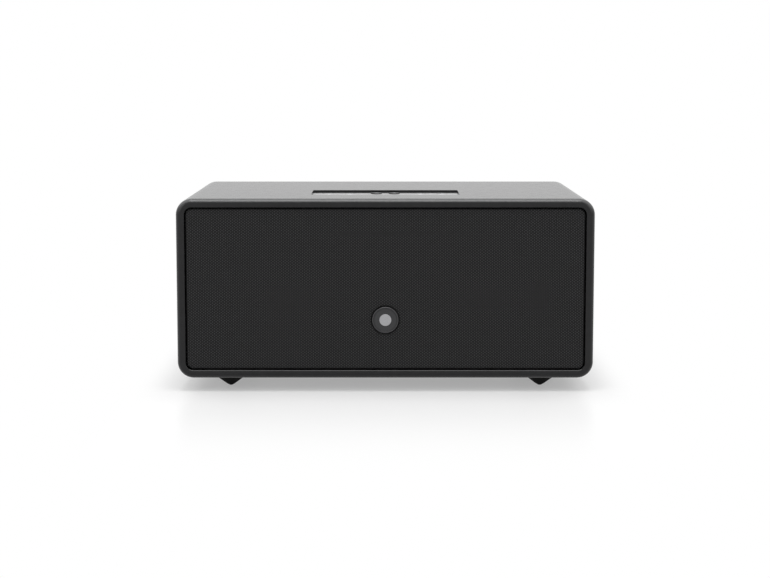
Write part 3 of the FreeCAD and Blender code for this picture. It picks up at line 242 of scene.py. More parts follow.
class Graph:
    """Writes a node tree, one node a call."""

    def __init__(self, tree: NodeTree) -> None:
        """Keeps the tree that the nodes go into."""
        self.tree = tree

    @classmethod
    def of(cls, owner: Material | World) -> "Graph":
        """Turns on and empties the nodes of a material or a world.

        Args:
            owner: The material or world.

        Returns:
            The graph of its nodes.
        """
        owner.use_nodes = True
        owner.node_tree.nodes.clear()
        return cls(owner.node_tree)

    def add(self, kind: str, inputs: dict[str | int, Socket] | None = None, **settings: object) -> Node:
        """Adds a node.

        Args:
            kind: Blender's name of the node type.
            inputs: Input name or number to the socket that feeds it, or to its own value.
            settings: Properties of the node.

        Returns:
            The new node.
        """
        node = self.tree.nodes.new(kind)
        for name, value in settings.items():
            setattr(node, name, value)
        for key, value in (inputs or {}).items():
            if isinstance(value, NodeSocket):
                self.tree.links.new(value, node.inputs[key])
            else:
                node.inputs[key].default_value = value
        return node

    def math(self, operation: str, first: Socket, second: Socket = 0.0, clamp: bool = False) -> NodeSocket:
        """Works out one operation on values."""
        inputs = {0: first, 1: second}
        return self.add("ShaderNodeMath", inputs, operation=operation, use_clamp=clamp).outputs[0]

    def plus(self, *values: Socket) -> NodeSocket:
        """Sum of values."""
        return reduce(lambda first, second: self.math("ADD", first, second), values)

    def times(self, *values: Socket) -> NodeSocket:
        """Product of values."""
        return reduce(lambda first, second: self.math("MULTIPLY", first, second), values)

    def highest(self, *values: Socket) -> NodeSocket:
        """Greatest of values."""
        return reduce(lambda first, second: self.math("MAXIMUM", first, second), values)

    def ramp(self, value: Socket, low: float, high: float, start: float = 0.0,
             end: float = 1.0) -> NodeSocket:
        """Maps a range of values to another, smoothly and clamped."""
        inputs = {"Value": value, "From Min": low, "From Max": high, "To Min": start, "To Max": end}
        return self.add("ShaderNodeMapRange", inputs, interpolation_type="SMOOTHSTEP").outputs[0]

    def mix(self, factor: Socket, first: Socket, second: Socket) -> NodeSocket:
        """Mixes two colours."""
        first, second = (part if isinstance(part, NodeSocket) else (*part, 1.0) for part in (first, second))
        return self.add("ShaderNodeMix", {"Factor": factor, 6: first, 7: second}, data_type="RGBA",
                        clamp_factor=True).outputs[2]

    def noise(self, coords: Socket, scale: Socket, detail: float = 2.0, roughness: float = 0.5) -> NodeSocket:
        """Value of a noise, from 0 to 1."""
        inputs = {"Vector": coords, "Scale": scale, "Detail": detail, "Roughness": roughness}
        return self.add("ShaderNodeTexNoise", inputs).outputs[0]

    def axes(self, vector: NodeSocket) -> Sockets:
        """X, Y and Z of a vector."""
        return dict(self.add("ShaderNodeSeparateXYZ", {0: vector}).outputs.items())

    def facing(self) -> Sockets:
        """X, Y and Z of the surface's normal."""
        return self.axes(self.add("ShaderNodeNewGeometry").outputs["Normal"])

    def stretched(self, coords: NodeSocket, across: float) -> NodeSocket:
        """Coordinates scaled along X."""
        return self.add("ShaderNodeMapping", {"Vector": coords, "Scale": (across, 1.0, 1.0)}).outputs[0]

    def measured_from(self, coords: NodeSocket, centre: Sequence[float]) -> NodeSocket:
        """Coordinates whose origin is moved to a centre."""
        origin = tuple(-part for part in centre)
        return self.add("ShaderNodeMapping", {"Vector": coords, "Location": origin}).outputs[0]

    def seen(self) -> NodeSocket:
        """Whether a surface is looked at, straight, in a reflection or through glass."""
        rays = self.add("ShaderNodeLightPath").outputs
        return self.highest(rays["Is Glossy Ray"], rays["Is Transmission Ray"], rays["Is Camera Ray"])


class Effect:
    """Node group that several finishes share, made once. Its inputs after the vector are floats."""

    name: ClassVar[str]
    inputs: ClassVar[dict[str, float]]
    outputs: ClassVar[tuple[str, ...]]

    @staticmethod
    def write(graph: Graph, given: Sockets) -> tuple[NodeSocket, ...]:
        """Writes the group's nodes from its inputs, and gives the sockets of its outputs in order."""
        raise NotImplementedError

    @classmethod
    def tree(cls) -> NodeTree:
        """Makes the group, or gives the one already made.

        Returns:
            The group's node tree.
        """
        made = bpy.data.node_groups.get(cls.name)
        if made:
            return made
        tree = bpy.data.node_groups.new(cls.name, "ShaderNodeTree")
        tree.interface.new_socket("Vector", in_out="INPUT", socket_type="NodeSocketVector")
        for label, value in cls.inputs.items():
            socket = tree.interface.new_socket(label, in_out="INPUT", socket_type="NodeSocketFloat")
            socket.default_value = value
        for label in cls.outputs:
            tree.interface.new_socket(label, in_out="OUTPUT", socket_type="NodeSocketFloat")
        graph = Graph(tree)
        given = dict(graph.add("NodeGroupInput").outputs.items())
        graph.add("NodeGroupOutput", dict(zip(cls.outputs, cls.write(graph, given))))
        return tree

    @classmethod
    def place(cls, graph: Graph, coords: NodeSocket, **values: float) -> Sockets:
        """Places the group in a material with values of its own, and gives its outputs by name."""
        inputs = {"Vector": coords, **{name.replace("_", " "): value for name, value in values.items()}}
        return dict(graph.add("ShaderNodeGroup", inputs, node_tree=cls.tree()).outputs.items())


class FineGrain(Effect):
    """Pebbled grain of a moulded, coated or wrapped surface: a height and a slow unevenness."""

    name = "fine grain"
    inputs = {"Grains": 1500.0}
    outputs = ("Height", "Unevenness")

    @staticmethod
    def write(graph: Graph, given: Sockets) -> tuple[NodeSocket, ...]:
        """Writes pebbles under a finer grain, and slow patches.

        Args:
            graph: Graph of the group.
            given: The group's inputs by name.

        Returns:
            The sockets that feed its outputs, in order.
        """
        cells = {"Vector": given["Vector"], "Scale": given["Grains"], "Smoothness": 0.6}
        pebbles = graph.add("ShaderNodeTexVoronoi", cells, feature="SMOOTH_F1").outputs["Distance"]
        finer = graph.noise(given["Vector"], graph.times(given["Grains"], 2.3), 3.0, 0.6)
        slow = graph.ramp(graph.noise(given["Vector"], 140.0, 4.0, 0.6), 0.25, 0.75)
        return graph.plus(graph.times(pebbles, 0.7), graph.times(finer, 0.5)), slow


class SettledDust(Effect):
    """Mask of the faint dust on what faces up."""

    name = "settled dust"
    inputs = {"Amount": 0.02}
    outputs = ("Mask",)

    @staticmethod
    def write(graph: Graph, given: Sockets) -> tuple[NodeSocket, ...]:
        """Writes specks that gather in patches.

        Args:
            graph: Graph of the group.
            given: The group's inputs by name.

        Returns:
            The sockets that feed its outputs, in order.
        """
        up = graph.ramp(graph.facing()["Z"], 0.5, 1.0)
        specks = graph.ramp(graph.noise(given["Vector"], 900.0, 2.0, 0.7), 0.55, 0.75)
        patches = graph.ramp(graph.noise(given["Vector"], 18.0), 0.3, 0.8, 0.2, 1.0)
        return (graph.times(up, specks, patches, given["Amount"]),)


class EdgeWearAndHighlight(Effect):
    """Mask of the outer edges round the front and rear, painted lighter as a highlight of the light from
    above and partly as rubbing from handling.
    """

    name = "edge wear"
    inputs = {"Amount": 0.0, "Middle": 0.0}
    outputs = ("Mask",)

    @staticmethod
    def write(graph: Graph, given: Sockets) -> tuple[NodeSocket, ...]:
        """Writes a mask of the edges that face away from the middle height, mostly the upper ones, where the
        painted highlight stands in for light from above.

        Args:
            graph: Graph of the group.
            given: The group's inputs by name.

        Returns:
            The sockets that feed its outputs, in order.
        """
        normal, place = graph.facing(), graph.axes(given["Vector"])
        along = graph.math("ABSOLUTE", normal["Y"])
        between = graph.times(graph.ramp(along, 0.05, 0.3), graph.ramp(along, 0.7, 0.95, 1.0, 0.0))
        # upper edges take most of the mask: a painted highlight standing in for the overhead light
        upper = graph.ramp(normal["Z"], 0.0, 0.6, 0.1, 1.0)
        above = graph.math("SUBTRACT", place["Z"], given["Middle"])
        outward = graph.plus(graph.times(place["X"], normal["X"]), graph.times(above, normal["Z"]))
        broken = graph.ramp(graph.noise(given["Vector"], 320.0, 3.0), 0.3, 0.7, 0.85, 1.0)
        return (graph.times(between, upper, graph.ramp(outward, 0.0, 0.02), broken, given["Amount"]),)


class PlainWeave(Effect):
    """Over-and-under weave in the X-Z plane, which turns along Y behind the face."""

    name = "plain weave"
    inputs = {"Warp Pitch": 0.00158, "Weft Pitch": 0.00123, "Face": 1.0}
    outputs = ("Height", "Holes", "Over", "Fibres")

    @staticmethod
    def write(graph: Graph, given: Sockets) -> tuple[NodeSocket, ...]:
        """Writes round yarns that cross, with fibres on them and holes between.

        Args:
            graph: Graph of the group.
            given: The group's inputs by name.

        Returns:
            The sockets that feed its outputs, in order.
        """
        place = graph.axes(given["Vector"])
        deep = graph.highest(graph.math("SUBTRACT", place["Y"], given["Face"]), 0.0)
        pitches = (graph.math("DIVIDE", graph.plus(place[axis], deep), given[pitch])
                   for axis, pitch in (("X", "Warp Pitch"), ("Z", "Weft Pitch")))
        waves = [graph.math("SINE", graph.times(pitch, math.pi)) for pitch in pitches]
        over = graph.ramp(graph.times(*waves), -0.12, 0.12)
        across, along = (graph.math("ABSOLUTE", wave) for wave in waves)
        warp = graph.times(across, graph.math("POWER", along, 0.3))
        weft = graph.times(along, graph.math("POWER", across, 0.3))
        top = graph.plus(graph.times(warp, over), graph.times(weft, graph.math("SUBTRACT", 1.0, over)))
        fibres = graph.noise(graph.stretched(given["Vector"], 3.0), 5200.0, 2.0, 0.6)
        return graph.plus(top, graph.times(fibres, 0.18)), graph.ramp(top, 0.5, 0.12), over, fibres


class Brushed(Effect):
    """Fine scratches along X: a height and a streak value."""

    name = "brushed"
    inputs = {"Lines": 2500.0}
    outputs = ("Height", "Streak")

    @staticmethod
    def write(graph: Graph, given: Sockets) -> tuple[NodeSocket, ...]:
        """Writes fine scratches over broad ones.

        Args:
            graph: Graph of the group.
            given: The group's inputs by name.

        Returns:
            The sockets that feed its outputs, in order.
        """
        along = graph.stretched(given["Vector"], 0.02)
        lines = graph.noise(along, given["Lines"], 4.0, 0.7)
        mixed = graph.plus(graph.times(lines, 0.7), graph.times(graph.noise(along, 160.0), 0.3))
        return lines, graph.ramp(mixed, 0.35, 0.65)


class Turned(Effect):
    """Circular tool marks round the origin of the X-Z plane."""

    name = "turned"
    inputs = {"Lines": 5000.0}
    outputs = ("Height", "Streak", "Radius")

    @staticmethod
    def write(graph: Graph, given: Sockets) -> tuple[NodeSocket, ...]:
        """Writes rings of uneven depth.

        Args:
            graph: Graph of the group.
            given: The group's inputs by name.

        Returns:
            The sockets that feed its outputs, in order.
        """
        flat = graph.add("ShaderNodeVectorMath", {0: given["Vector"], 1: (1.0, 0.0, 1.0)},
                         operation="MULTIPLY").outputs[0]
        radius = graph.add("ShaderNodeVectorMath", {0: flat}, operation="LENGTH").outputs["Value"]
        marks = graph.add("ShaderNodeTexNoise", {"W": radius, "Scale": given["Lines"], "Detail": 3.0},
                          noise_dimensions="1D").outputs[0]
        return marks, graph.ramp(marks, 0.35, 0.65), radius


@dataclass
class Surface:
    """What a finish's pattern gives its shader."""

    colour: Socket
    roughness: Socket
    height: NodeSocket


@dataclass(frozen=True)
class Finish:
    """Moulded or coated finish with a fine grain and a trace of dust. Relief in metres."""

    name: str
    colour: Colour
    roughness: float
    metallic: float = 0.0
    specular: float = 0.5
    sheen: float = 0.0
    grains: float = 1600.0
    relief: float = 0.00001
    lift: float = 1.35
    dust: float = 0.02
    uneven: float = 0.03
    sheen_roughness: ClassVar[float] = 0.4
    dust_colour: ClassVar[Colour] = (0.5, 0.49, 0.47)

    def shade(self, by: float) -> Colour:
        """The finish's colour, made lighter or darker."""
        return tuple(min(1.0, part * by) for part in self.colour)

    def tint(self, graph: Graph, mask: NodeSocket) -> NodeSocket:
        """Colour that gets lighter with a mask."""
        return graph.mix(mask, self.colour, self.shade(self.lift))

    def gloss(self, graph: Graph, mask: NodeSocket, low: float = 0.0, high: float = 1.0) -> NodeSocket:
        """Roughness that swings with a mask."""
        return graph.ramp(mask, low, high, self.roughness - self.uneven, self.roughness + self.uneven)

    def pattern(self, graph: Graph, coords: NodeSocket) -> Surface:
        """Writes the finish's own detail.

        Args:
            graph: Graph of the material.
            coords: Object coordinates.

        Returns:
            What the shader takes.
        """
        grain = FineGrain.place(graph, coords, Grains=self.grains)
        patches = grain["Unevenness"]
        return Surface(self.tint(graph, patches), self.gloss(graph, patches), grain["Height"])

    def build(self) -> Material:
        """Makes the material, or gives the one already made.

        Returns:
            The material.
        """
        made = bpy.data.materials.get(self.name)
        if made:
            return made
        material = bpy.data.materials.new(self.name)
        graph = Graph.of(material)
        coords = graph.add("ShaderNodeTexCoord").outputs["Object"]
        surface = self.pattern(graph, coords)
        if self.dust:
            dust = SettledDust.place(graph, coords, Amount=self.dust)["Mask"]
            surface.colour = graph.mix(dust, surface.colour, self.dust_colour)
            surface.roughness = graph.math("ADD", surface.roughness, dust, clamp=True)
        relief = {"Strength": 1.0, "Distance": self.relief, "Height": surface.height}
        bump = graph.add("ShaderNodeBump", relief).outputs[0]
        shader = graph.add("ShaderNodeBsdfPrincipled", {
            "Base Color": surface.colour, "Roughness": surface.roughness, "Normal": bump,
            "Metallic": self.metallic, "Specular IOR Level": self.specular,
            "Sheen Weight": self.sheen, "Sheen Roughness": self.sheen_roughness,
        })
        graph.add("ShaderNodeOutputMaterial", {"Surface": shader.outputs[0]})
        material.diffuse_color = (*self.colour, 1.0)
        return material


@dataclass(frozen=True)
class WrapFinish(Finish):
    """Vinyl wrap with a painted highlight along its edges, brightest on the upper ones, partly rubbing from
    handling.
    """

    wear: float = 0.5
    worn_highlight_colour: Colour = (0.2, 0.2, 0.202)
    middle_z: float = middle("cabinet_sleeve").z

    def pattern(self, graph: Graph, coords: NodeSocket) -> Surface:
        """Writes the grain and the painted highlight on the edges, partly rubbing from handling.

        Args:
            graph: Graph of the material.
            coords: Object coordinates.

        Returns:
            What the shader takes.
        """
        surface = super().pattern(graph, coords)
        worn_highlight = EdgeWearAndHighlight.place(graph, coords, Amount=self.wear, Middle=self.middle_z)["Mask"]
        # edges painted lighter: a painted highlight, partly rubbing from handling
        surface.colour = graph.mix(worn_highlight, surface.colour, self.worn_highlight_colour)
        return surface


@dataclass(frozen=True)
class WovenFinish(Finish):
    """Cloth of round yarns with painted shade in the holes between them and on the lower weft, and a painted
    shadow round the badge. Pitches and the shadow's radius in metres.
    """

    dust: float = 0.0
    uneven: float = 0.05
    warp_pitch: float = 0.00158
    weft_pitch: float = 0.00123
    hole_shade_colour: Colour = (0.002, 0.002, 0.002)
    weft_tone_and_painted_shade: float = 0.7
    badge_shadow_radius: float = 0.0
    face: float = 1.0

    def pattern(self, graph: Graph, coords: NodeSocket) -> Surface:
        """Writes the yarns, their fibres, painted shade in the holes and on the lower weft, and a painted
        shadow round the badge.

        Args:
            graph: Graph of the material.
            coords: Object coordinates.

        Returns:
            What the shader takes.
        """
        weave = PlainWeave.place(graph, coords, Warp_Pitch=self.warp_pitch, Weft_Pitch=self.weft_pitch,
                                 Face=self.face)
        # weft painted darker: partly a two-tone yarn, partly painted shade on the lower crossings
        yarn = graph.mix(weave["Over"], self.shade(self.weft_tone_and_painted_shade), self.colour)
        fibres = graph.mix(graph.times(weave["Fibres"], 0.5), yarn, self.shade(self.lift))
        # holes painted near black: painted shade between the yarns
        colour = graph.mix(weave["Holes"], fibres, self.hole_shade_colour)
        # painted shadow in a ring round the badge
        if self.badge_shadow_radius:
            radius = Turned.place(graph, graph.measured_from(coords, BADGE_CENTRE))["Radius"]
            shadow = graph.ramp(radius, self.badge_shadow_radius * 1.02, self.badge_shadow_radius * 0.9)
            colour = graph.mix(shadow, colour, self.hole_shade_colour)
        return Surface(colour, self.gloss(graph, weave["Fibres"], 0.2, 0.8), weave["Height"])


@dataclass(frozen=True)
class BrushedFinish(Finish):
    """Metal with fine straight scratches."""

    dust: float = 0.0
    uneven: float = 0.06
    lines: float = 2500.0

    def pattern(self, graph: Graph, coords: NodeSocket) -> Surface:
        """Writes the scratches."""
        marks = Brushed.place(graph, coords, Lines=self.lines)
        return Surface(self.tint(graph, marks["Streak"]), self.gloss(graph, marks["Streak"]), marks["Height"])


@dataclass(frozen=True)
class TurnedFinish(Finish):
    """Metal or plastic with circular tool marks round a point, and where it has a rim, a painted highlight on
    it and a painted shaded ring just inside.
    """

    dust: float = 0.0
    uneven: float = 0.05
    centre: Point = (0.0, 0.0, 0.0)
    lines: float = 5000.0
    rim: float = 0.0
    # shares of the rim's radius that take the painted shade inside the rim
    hollow: ClassVar[tuple[float, float]] = (0.84, 0.96)
    hollow_shadow_darkening: ClassVar[float] = 0.75
    rim_highlight_lift: ClassVar[float] = 1.7

    def pattern(self, graph: Graph, coords: NodeSocket) -> Surface:
        """Writes the circular marks, a painted shaded ring inside the rim and a painted highlight on the rim.

        Args:
            graph: Graph of the material.
            coords: Object coordinates.

        Returns:
            What the shader takes.
        """
        marks = Turned.place(graph, graph.measured_from(coords, self.centre), Lines=self.lines)
        colour = self.tint(graph, marks["Streak"])
        if self.rim:
            # painted highlight on the rim, painted shade in the ring just inside it
            rim_highlight = graph.ramp(marks["Radius"], self.rim, self.rim * 1.02)
            inner = graph.ramp(marks["Radius"], *(self.rim * share for share in self.hollow))
            colour = graph.mix(graph.math("SUBTRACT", inner, rim_highlight), colour, self.shade(self.hollow_shadow_darkening))
            colour = graph.mix(rim_highlight, colour, self.shade(self.rim_highlight_lift))
        return Surface(colour, self.gloss(graph, marks["Streak"]), marks["Height"])


@dataclass(frozen=True)
class FibreFinish(Finish):
    """Felt, foam or wadding, with its tangle of fibres or cells."""

    dust: float = 0.0
    fibres: float = 900.0

    def pattern(self, graph: Graph, coords: NodeSocket) -> Surface:
        """Writes the tangle and its clumps.

        Args:
            graph: Graph of the material.
            coords: Object coordinates.

        Returns:
            What the shader takes.
        """
        tangle = graph.noise(coords, self.fibres, 6.0, 0.75)
        clumps = graph.ramp(graph.noise(coords, self.fibres / 12, 3.0), 0.3, 0.7)
        mixed = graph.plus(graph.times(tangle, 0.7), graph.times(clumps, 0.3))
        roughness = graph.ramp(tangle, 0.3, 0.7, self.roughness - 0.05, self.roughness)
        return Surface(self.tint(graph, graph.ramp(mixed, 0.3, 0.7)), roughness, mixed)


@dataclass(frozen=True)
class BoardFinish(Finish):
    """Circuit board with copper tracks under a solder mask."""

    dust: float = 0.0
    track_colour: Colour = (0.03, 0.13, 0.07)

    def pattern(self, graph: Graph, coords: NodeSocket) -> Surface:
        """Writes tracks and pads.

        Args:
            graph: Graph of the material.
            coords: Object coordinates.

        Returns:
            What the shader takes.
        """
        black = (0.0, 0.0, 0.0, 1.0)
        tracks = graph.add("ShaderNodeTexBrick", {
            "Vector": coords, "Scale": 90.0, "Mortar Size": 0.06, "Brick Width": 0.9, "Row Height": 0.35,
            "Color1": black, "Color2": black, "Mortar": WHITE,
        }).outputs["Fac"]
        cells = graph.add("ShaderNodeTexVoronoi", {"Vector": coords, "Scale": 260.0}).outputs["Distance"]
        marks = graph.highest(tracks, graph.ramp(cells, 0.22, 0.18))
        roughness = graph.ramp(marks, 0.0, 1.0, self.roughness, self.roughness - 0.1)
        return Surface(graph.mix(marks, self.colour, self.track_colour), roughness, marks)


@dataclass(frozen=True)
class RibbedFinish(Finish):
    """Moulded rubber or pulp with faint rings left by its mould."""

    uneven: float = 0.04
    centre: Point = tuple(middle("woofer_cone"))
    rings: float = 700.0

    def pattern(self, graph: Graph, coords: NodeSocket) -> Surface:
        """Writes the rings over the grain.

        Args:
            graph: Graph of the material.
            coords: Object coordinates.

        Returns:
            What the shader takes.
        """
        grain = FineGrain.place(graph, coords, Grains=self.grains)
        rings = Turned.place(graph, graph.measured_from(coords, self.centre), Lines=self.rings)
        height = graph.plus(grain["Height"], graph.times(rings["Height"], 0.6))
        return Surface(self.tint(graph, rings["Streak"]), self.gloss(graph, grain["Unevenness"]), height)


def grey(level: float, blue: float | None = None) -> Colour:
    """Grey, with a blue part of its own where one is given."""
    return (level, level, level if blue is None else blue)


class Finishes:
    """Every finish of the speaker."""

    WRAP = WrapFinish("satin black wrap", grey(0.009, 0.0095), 0.2, specular=0.24, grains=1500.0,
                      relief=0.000003, dust=0.004, uneven=0.008)
    BOARD = Finish("black painted board", grey(0.012), 0.6, specular=0.3, grains=700.0, relief=0.00004)
    CLOTH = WovenFinish("acoustic cloth", grey(0.040, 0.041), 0.85, specular=0.12, relief=0.00025, lift=1.5,
                        weft_tone_and_painted_shade=0.12, badge_shadow_radius=0.0137, face=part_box("grille_cloth")[0].y + 0.0014)
    PLASTIC = Finish("moulded black plastic", grey(0.018, 0.019), 0.5, specular=0.4, grains=1300.0,
                     relief=0.00002)
    PANEL = Finish("textured black panel", grey(0.02, 0.021), 0.55, specular=0.4, grains=950.0,
                   relief=0.00004)
    GLOSS = Finish("smooth black plastic", grey(0.01), 0.25, grains=2500.0, relief=0.000002)
    BADGE = TurnedFinish("turned badge metal", grey(0.031, 0.0325), 0.42, metallic=0.4, specular=0.4,
                         centre=BADGE_CENTRE, lines=3500.0, rim=0.0111, relief=0.000004)
    INLAY = TurnedFinish("satin inlay", grey(0.30, 0.31), 0.35, metallic=0.9, centre=BADGE_CENTRE,
                         lines=6000.0, relief=0.000002)
    DECK = BrushedFinish("brushed deck", grey(0.49, 0.495), 0.42, metallic=1.0, relief=0.000003, lift=1.12)
    KEY = Finish("satin key", grey(0.018, 0.019), 0.38, specular=0.4, grains=2200.0, relief=0.000006,
                 dust=0.01)
    METAL_KEY = Finish("satin metal key", grey(0.33, 0.335), 0.5, metallic=1.0, grains=2600.0,
                       relief=0.000004, lift=1.08, dust=0.0)
    DARK_INK = Finish("dark ink", grey(0.015), 0.5, grains=3000.0, relief=0.000002, dust=0.0)
    INK = Finish("light ink", grey(0.42, 0.43), 0.5, grains=3000.0, relief=0.000002, lift=1.1, dust=0.0)
    RUBBER = Finish("black rubber", grey(0.003), 0.75, specular=0.08, grains=1100.0, relief=0.00003,
                    dust=0.004)
    ROLL = RibbedFinish("surround rubber", grey(0.012), 0.45, specular=0.35, relief=0.00002, dust=0.01)
    PULP = RibbedFinish("pressed pulp", grey(0.022, 0.021), 0.7, specular=0.3, grains=900.0, relief=0.00005,
                        dust=0.0)
    CAP = WovenFinish("coated cap cloth", grey(0.02), 0.5, specular=0.4, warp_pitch=0.0009, weft_pitch=0.0009,
                      relief=0.00006)
    DOME = WovenFinish("coated dome silk", grey(0.02, 0.021), 0.4, specular=0.45, warp_pitch=0.0004,
                       weft_pitch=0.0004, relief=0.00003)
    SPIDER = WovenFinish("amber spider cloth", (0.36, 0.22, 0.08), 0.7, warp_pitch=0.0006, weft_pitch=0.0006,
                         hole_shade_colour=(0.12, 0.07, 0.02), relief=0.00008)
    POWDER = Finish("powder coat", grey(0.015, 0.016), 0.5, grains=1800.0, relief=0.00003)
    ZINC = BrushedFinish("zinc plate", grey(0.50, 0.47), 0.35, metallic=1.0, relief=0.000004, lift=1.2)
    NICKEL = TurnedFinish("nickel plate", (0.62, 0.60, 0.56), 0.22, metallic=1.0, relief=0.000002, lift=1.1)
    GOLD = BrushedFinish("gold contacts", (0.75, 0.52, 0.18), 0.25, metallic=1.0, relief=0.000002, lift=1.1)
    COPPER = BrushedFinish("copper winding", (0.55, 0.24, 0.10), 0.35, metallic=1.0, lines=1500.0,
                           relief=0.00004)
    BLACKENED = Finish("blackened steel", grey(0.02, 0.021), 0.42, metallic=0.8, grains=2600.0,
                       relief=0.000006)
    FERRITE = Finish("ferrite", grey(0.035, 0.036), 0.6, specular=0.4, grains=500.0, relief=0.00004)
    TAPE = BrushedFinish("yellow winding tape", (0.45, 0.36, 0.06), 0.5, lines=400.0, relief=0.00003)
    SLEEVE = Finish("capacitor sleeve", (0.012, 0.02, 0.05), 0.35, relief=0.000004, dust=0.0)
    ANODISED = BrushedFinish("black anodised", grey(0.02), 0.45, metallic=0.6, relief=0.000006)
    CIRCUIT = BoardFinish("circuit board", (0.01, 0.06, 0.03), 0.4, relief=0.00003)
    FOAM = FibreFinish("closed-cell foam", grey(0.02), 0.95, specular=0.2, fibres=1500.0, relief=0.00008)
    WADDING = FibreFinish("polyester wadding", grey(0.55, 0.52), 0.95, specular=0.1, sheen=0.3, fibres=500.0,
                          relief=0.0006, lift=1.3)
    INSULATION = Finish("lead insulation", grey(0.02), 0.45, grains=900.0, dust=0.0)
    WHITE_RING = Finish("white ring", grey(0.6, 0.58), 0.4, grains=2500.0, relief=0.000002, lift=1.05,
                        dust=0.0)
    RED_RING = Finish("red ring", (0.4, 0.02, 0.02), 0.4, grains=2500.0, relief=0.000002, lift=1.05, dust=0.0)
    BLACK_RING = Finish("black ring", grey(0.01), 0.4, grains=2500.0, relief=0.000002, dust=0.0)


def mesh_of(bm: BMesh, name: str, sharp: float = HARD_ANGLE) -> Mesh:
    """Turns a bmesh into a smooth mesh whose hard edges stay sharp, and frees it.

    Args:
        bm: The finished bmesh.
        name: Name of the mesh.
        sharp: Angle in degrees past which an edge is hard.

    Returns:
        The mesh.
    """
    for face in bm.faces:
        face.smooth = True
    for edge in bm.edges:
        edge.smooth = len(edge.link_faces) != 2 or edge.calc_face_angle() < math.radians(sharp)
    mesh = bpy.data.meshes.new(name)
    bm.to_mesh(mesh)
    bm.free()
    return mesh


def link_piece(name: str, mesh: Mesh, finish: Finish) -> Object:
    """Makes an object of a finished mesh.

    Args:
        name: Name of the piece.
        mesh: Its mesh, in the row frame.
        finish: Its finish.

    Returns:
        The new object, at the origin.
    """
    mesh.materials.append(finish.build())
    piece = bpy.data.objects.new(name, mesh)
    bpy.context.scene.collection.objects.link(piece)
    return piece


def merged(node: str) -> BMesh:
    """Copies a CAD node's mesh with its loose triangles merged.

    Args:
        node: CAD node.

    Returns:
        The copy.
    """
    bm = bmesh.new()
    bm.from_mesh(frame["nodes"][node].data)
    bmesh.ops.remove_doubles(bm, verts=bm.verts, dist=MERGE_DISTANCE)
    return bm


def solid_boxes(node: str) -> list[tuple[Vector, Vector]]:
    """Finds the box of each separate solid of a CAD node.

    Args:
        node: CAD node.

    Returns:
        Lowest and highest corner of each solid, from left to right.
    """
    bm = merged(node)
    left = set(bm.verts)
    boxes = []
    while left:
        found = [left.pop()]
        for vert in found:
            near = {edge.other_vert(vert) for edge in vert.link_edges} & left
            left -= near
            found += near
        low, high = (Vector(pick(vert.co[n] for vert in found) for n in range(3)) for pick in (min, max))
        boxes.append((low, high))
    bm.free()
    return sorted(boxes, key=lambda box: tuple(round(part, 5) for part in box[0]))


def hold(piece: Object, node: str, stands_for: bool = True) -> Object:
    """Makes a piece ride with a CAD node's body.

    Args:
        piece: The piece, in place.
        node: CAD node that it goes with.
        stands_for: Whether the piece takes the node's place.

    Returns:
        The piece.
    """
    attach(piece, frame["nodes"][node]["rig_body"])
    if stands_for:
        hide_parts(node)
    return piece


def eased(node: str, finish: Finish, edge: float = 0.0002, split: bool = True) -> Object:
    """Takes a CAD node's place with a smooth copy whose hard edges are slightly rounded.

    Args:
        node: CAD node.
        finish: Its finish.
        edge: Width of the rounding, in metres.
        split: Whether flats are split into triangles first, which ring-shaped flats need.

    Returns:
        The piece.
    """
    bm = merged(node)
    bmesh.ops.dissolve_limit(bm, angle_limit=FLAT_ANGLE, verts=bm.verts, edges=bm.edges,
                             use_dissolve_boundaries=False, delimit={"NORMAL"})
    if split:
        bmesh.ops.triangulate(bm, faces=[face for face in bm.faces if len(face.verts) > 4])
    piece = link_piece(node + "_shown", mesh_of(bm, node + "_shown"), finish)
    if edge:
        bevel = piece.modifiers.new("eased edges", "BEVEL")
        bevel.width = edge
        bevel.segments = EDGE_SEGMENTS
        bevel.limit_method = "ANGLE"
        bevel.angle_limit = math.radians(HARD_ANGLE)
    piece.modifiers.new("flat faces", "WEIGHTED_NORMAL").keep_sharp = True
    return hold(piece, node)


def painted(node: str, finish: Finish) -> None:
    """Gives a CAD node that stays as it is its finish.

    Args:
        node: CAD node.
        finish: Its finish.
    """
    mesh = frame["nodes"][node].data
    mesh.materials.clear()
    mesh.materials.append(finish.build())
    log.info("%s stays, in %s", node, finish.name)


def turned_profile(points: Outline, facing: Axis, centre: Vector, steps: int = 96) -> BMesh:
    """Spins a closed outline round an axis.

    Args:
        points: Radius and height of each corner of the outline. Height grows in the facing direction.
        facing: Direction of the axis.
        centre: Point of the axis at height zero.
        steps: Steps of the full turn.

    Returns:
        The spun mesh, in the row frame.
    """
    bm = bmesh.new()
    verts = [bm.verts.new((max(radius, 0.0), 0.0, height)) for radius, height in points]
    edges = [bm.edges.new(pair) for pair in zip(verts, verts[1:] + verts[:1])]
    bmesh.ops.spin(bm, geom=verts + edges, cent=(0, 0, 0), axis=(0, 0, 1), dvec=(0, 0, 0),
                   angle=math.tau, steps=steps, use_merge=True, use_normal_flip=False, use_duplicate=False)
    bmesh.ops.remove_doubles(bm, verts=bm.verts, dist=POLE_DISTANCE)
    bmesh.ops.recalc_face_normals(bm, faces=bm.faces)
    bmesh.ops.transform(bm, matrix=Matrix.Translation(centre) @ facing.turn(), verts=bm.verts)
    return bm


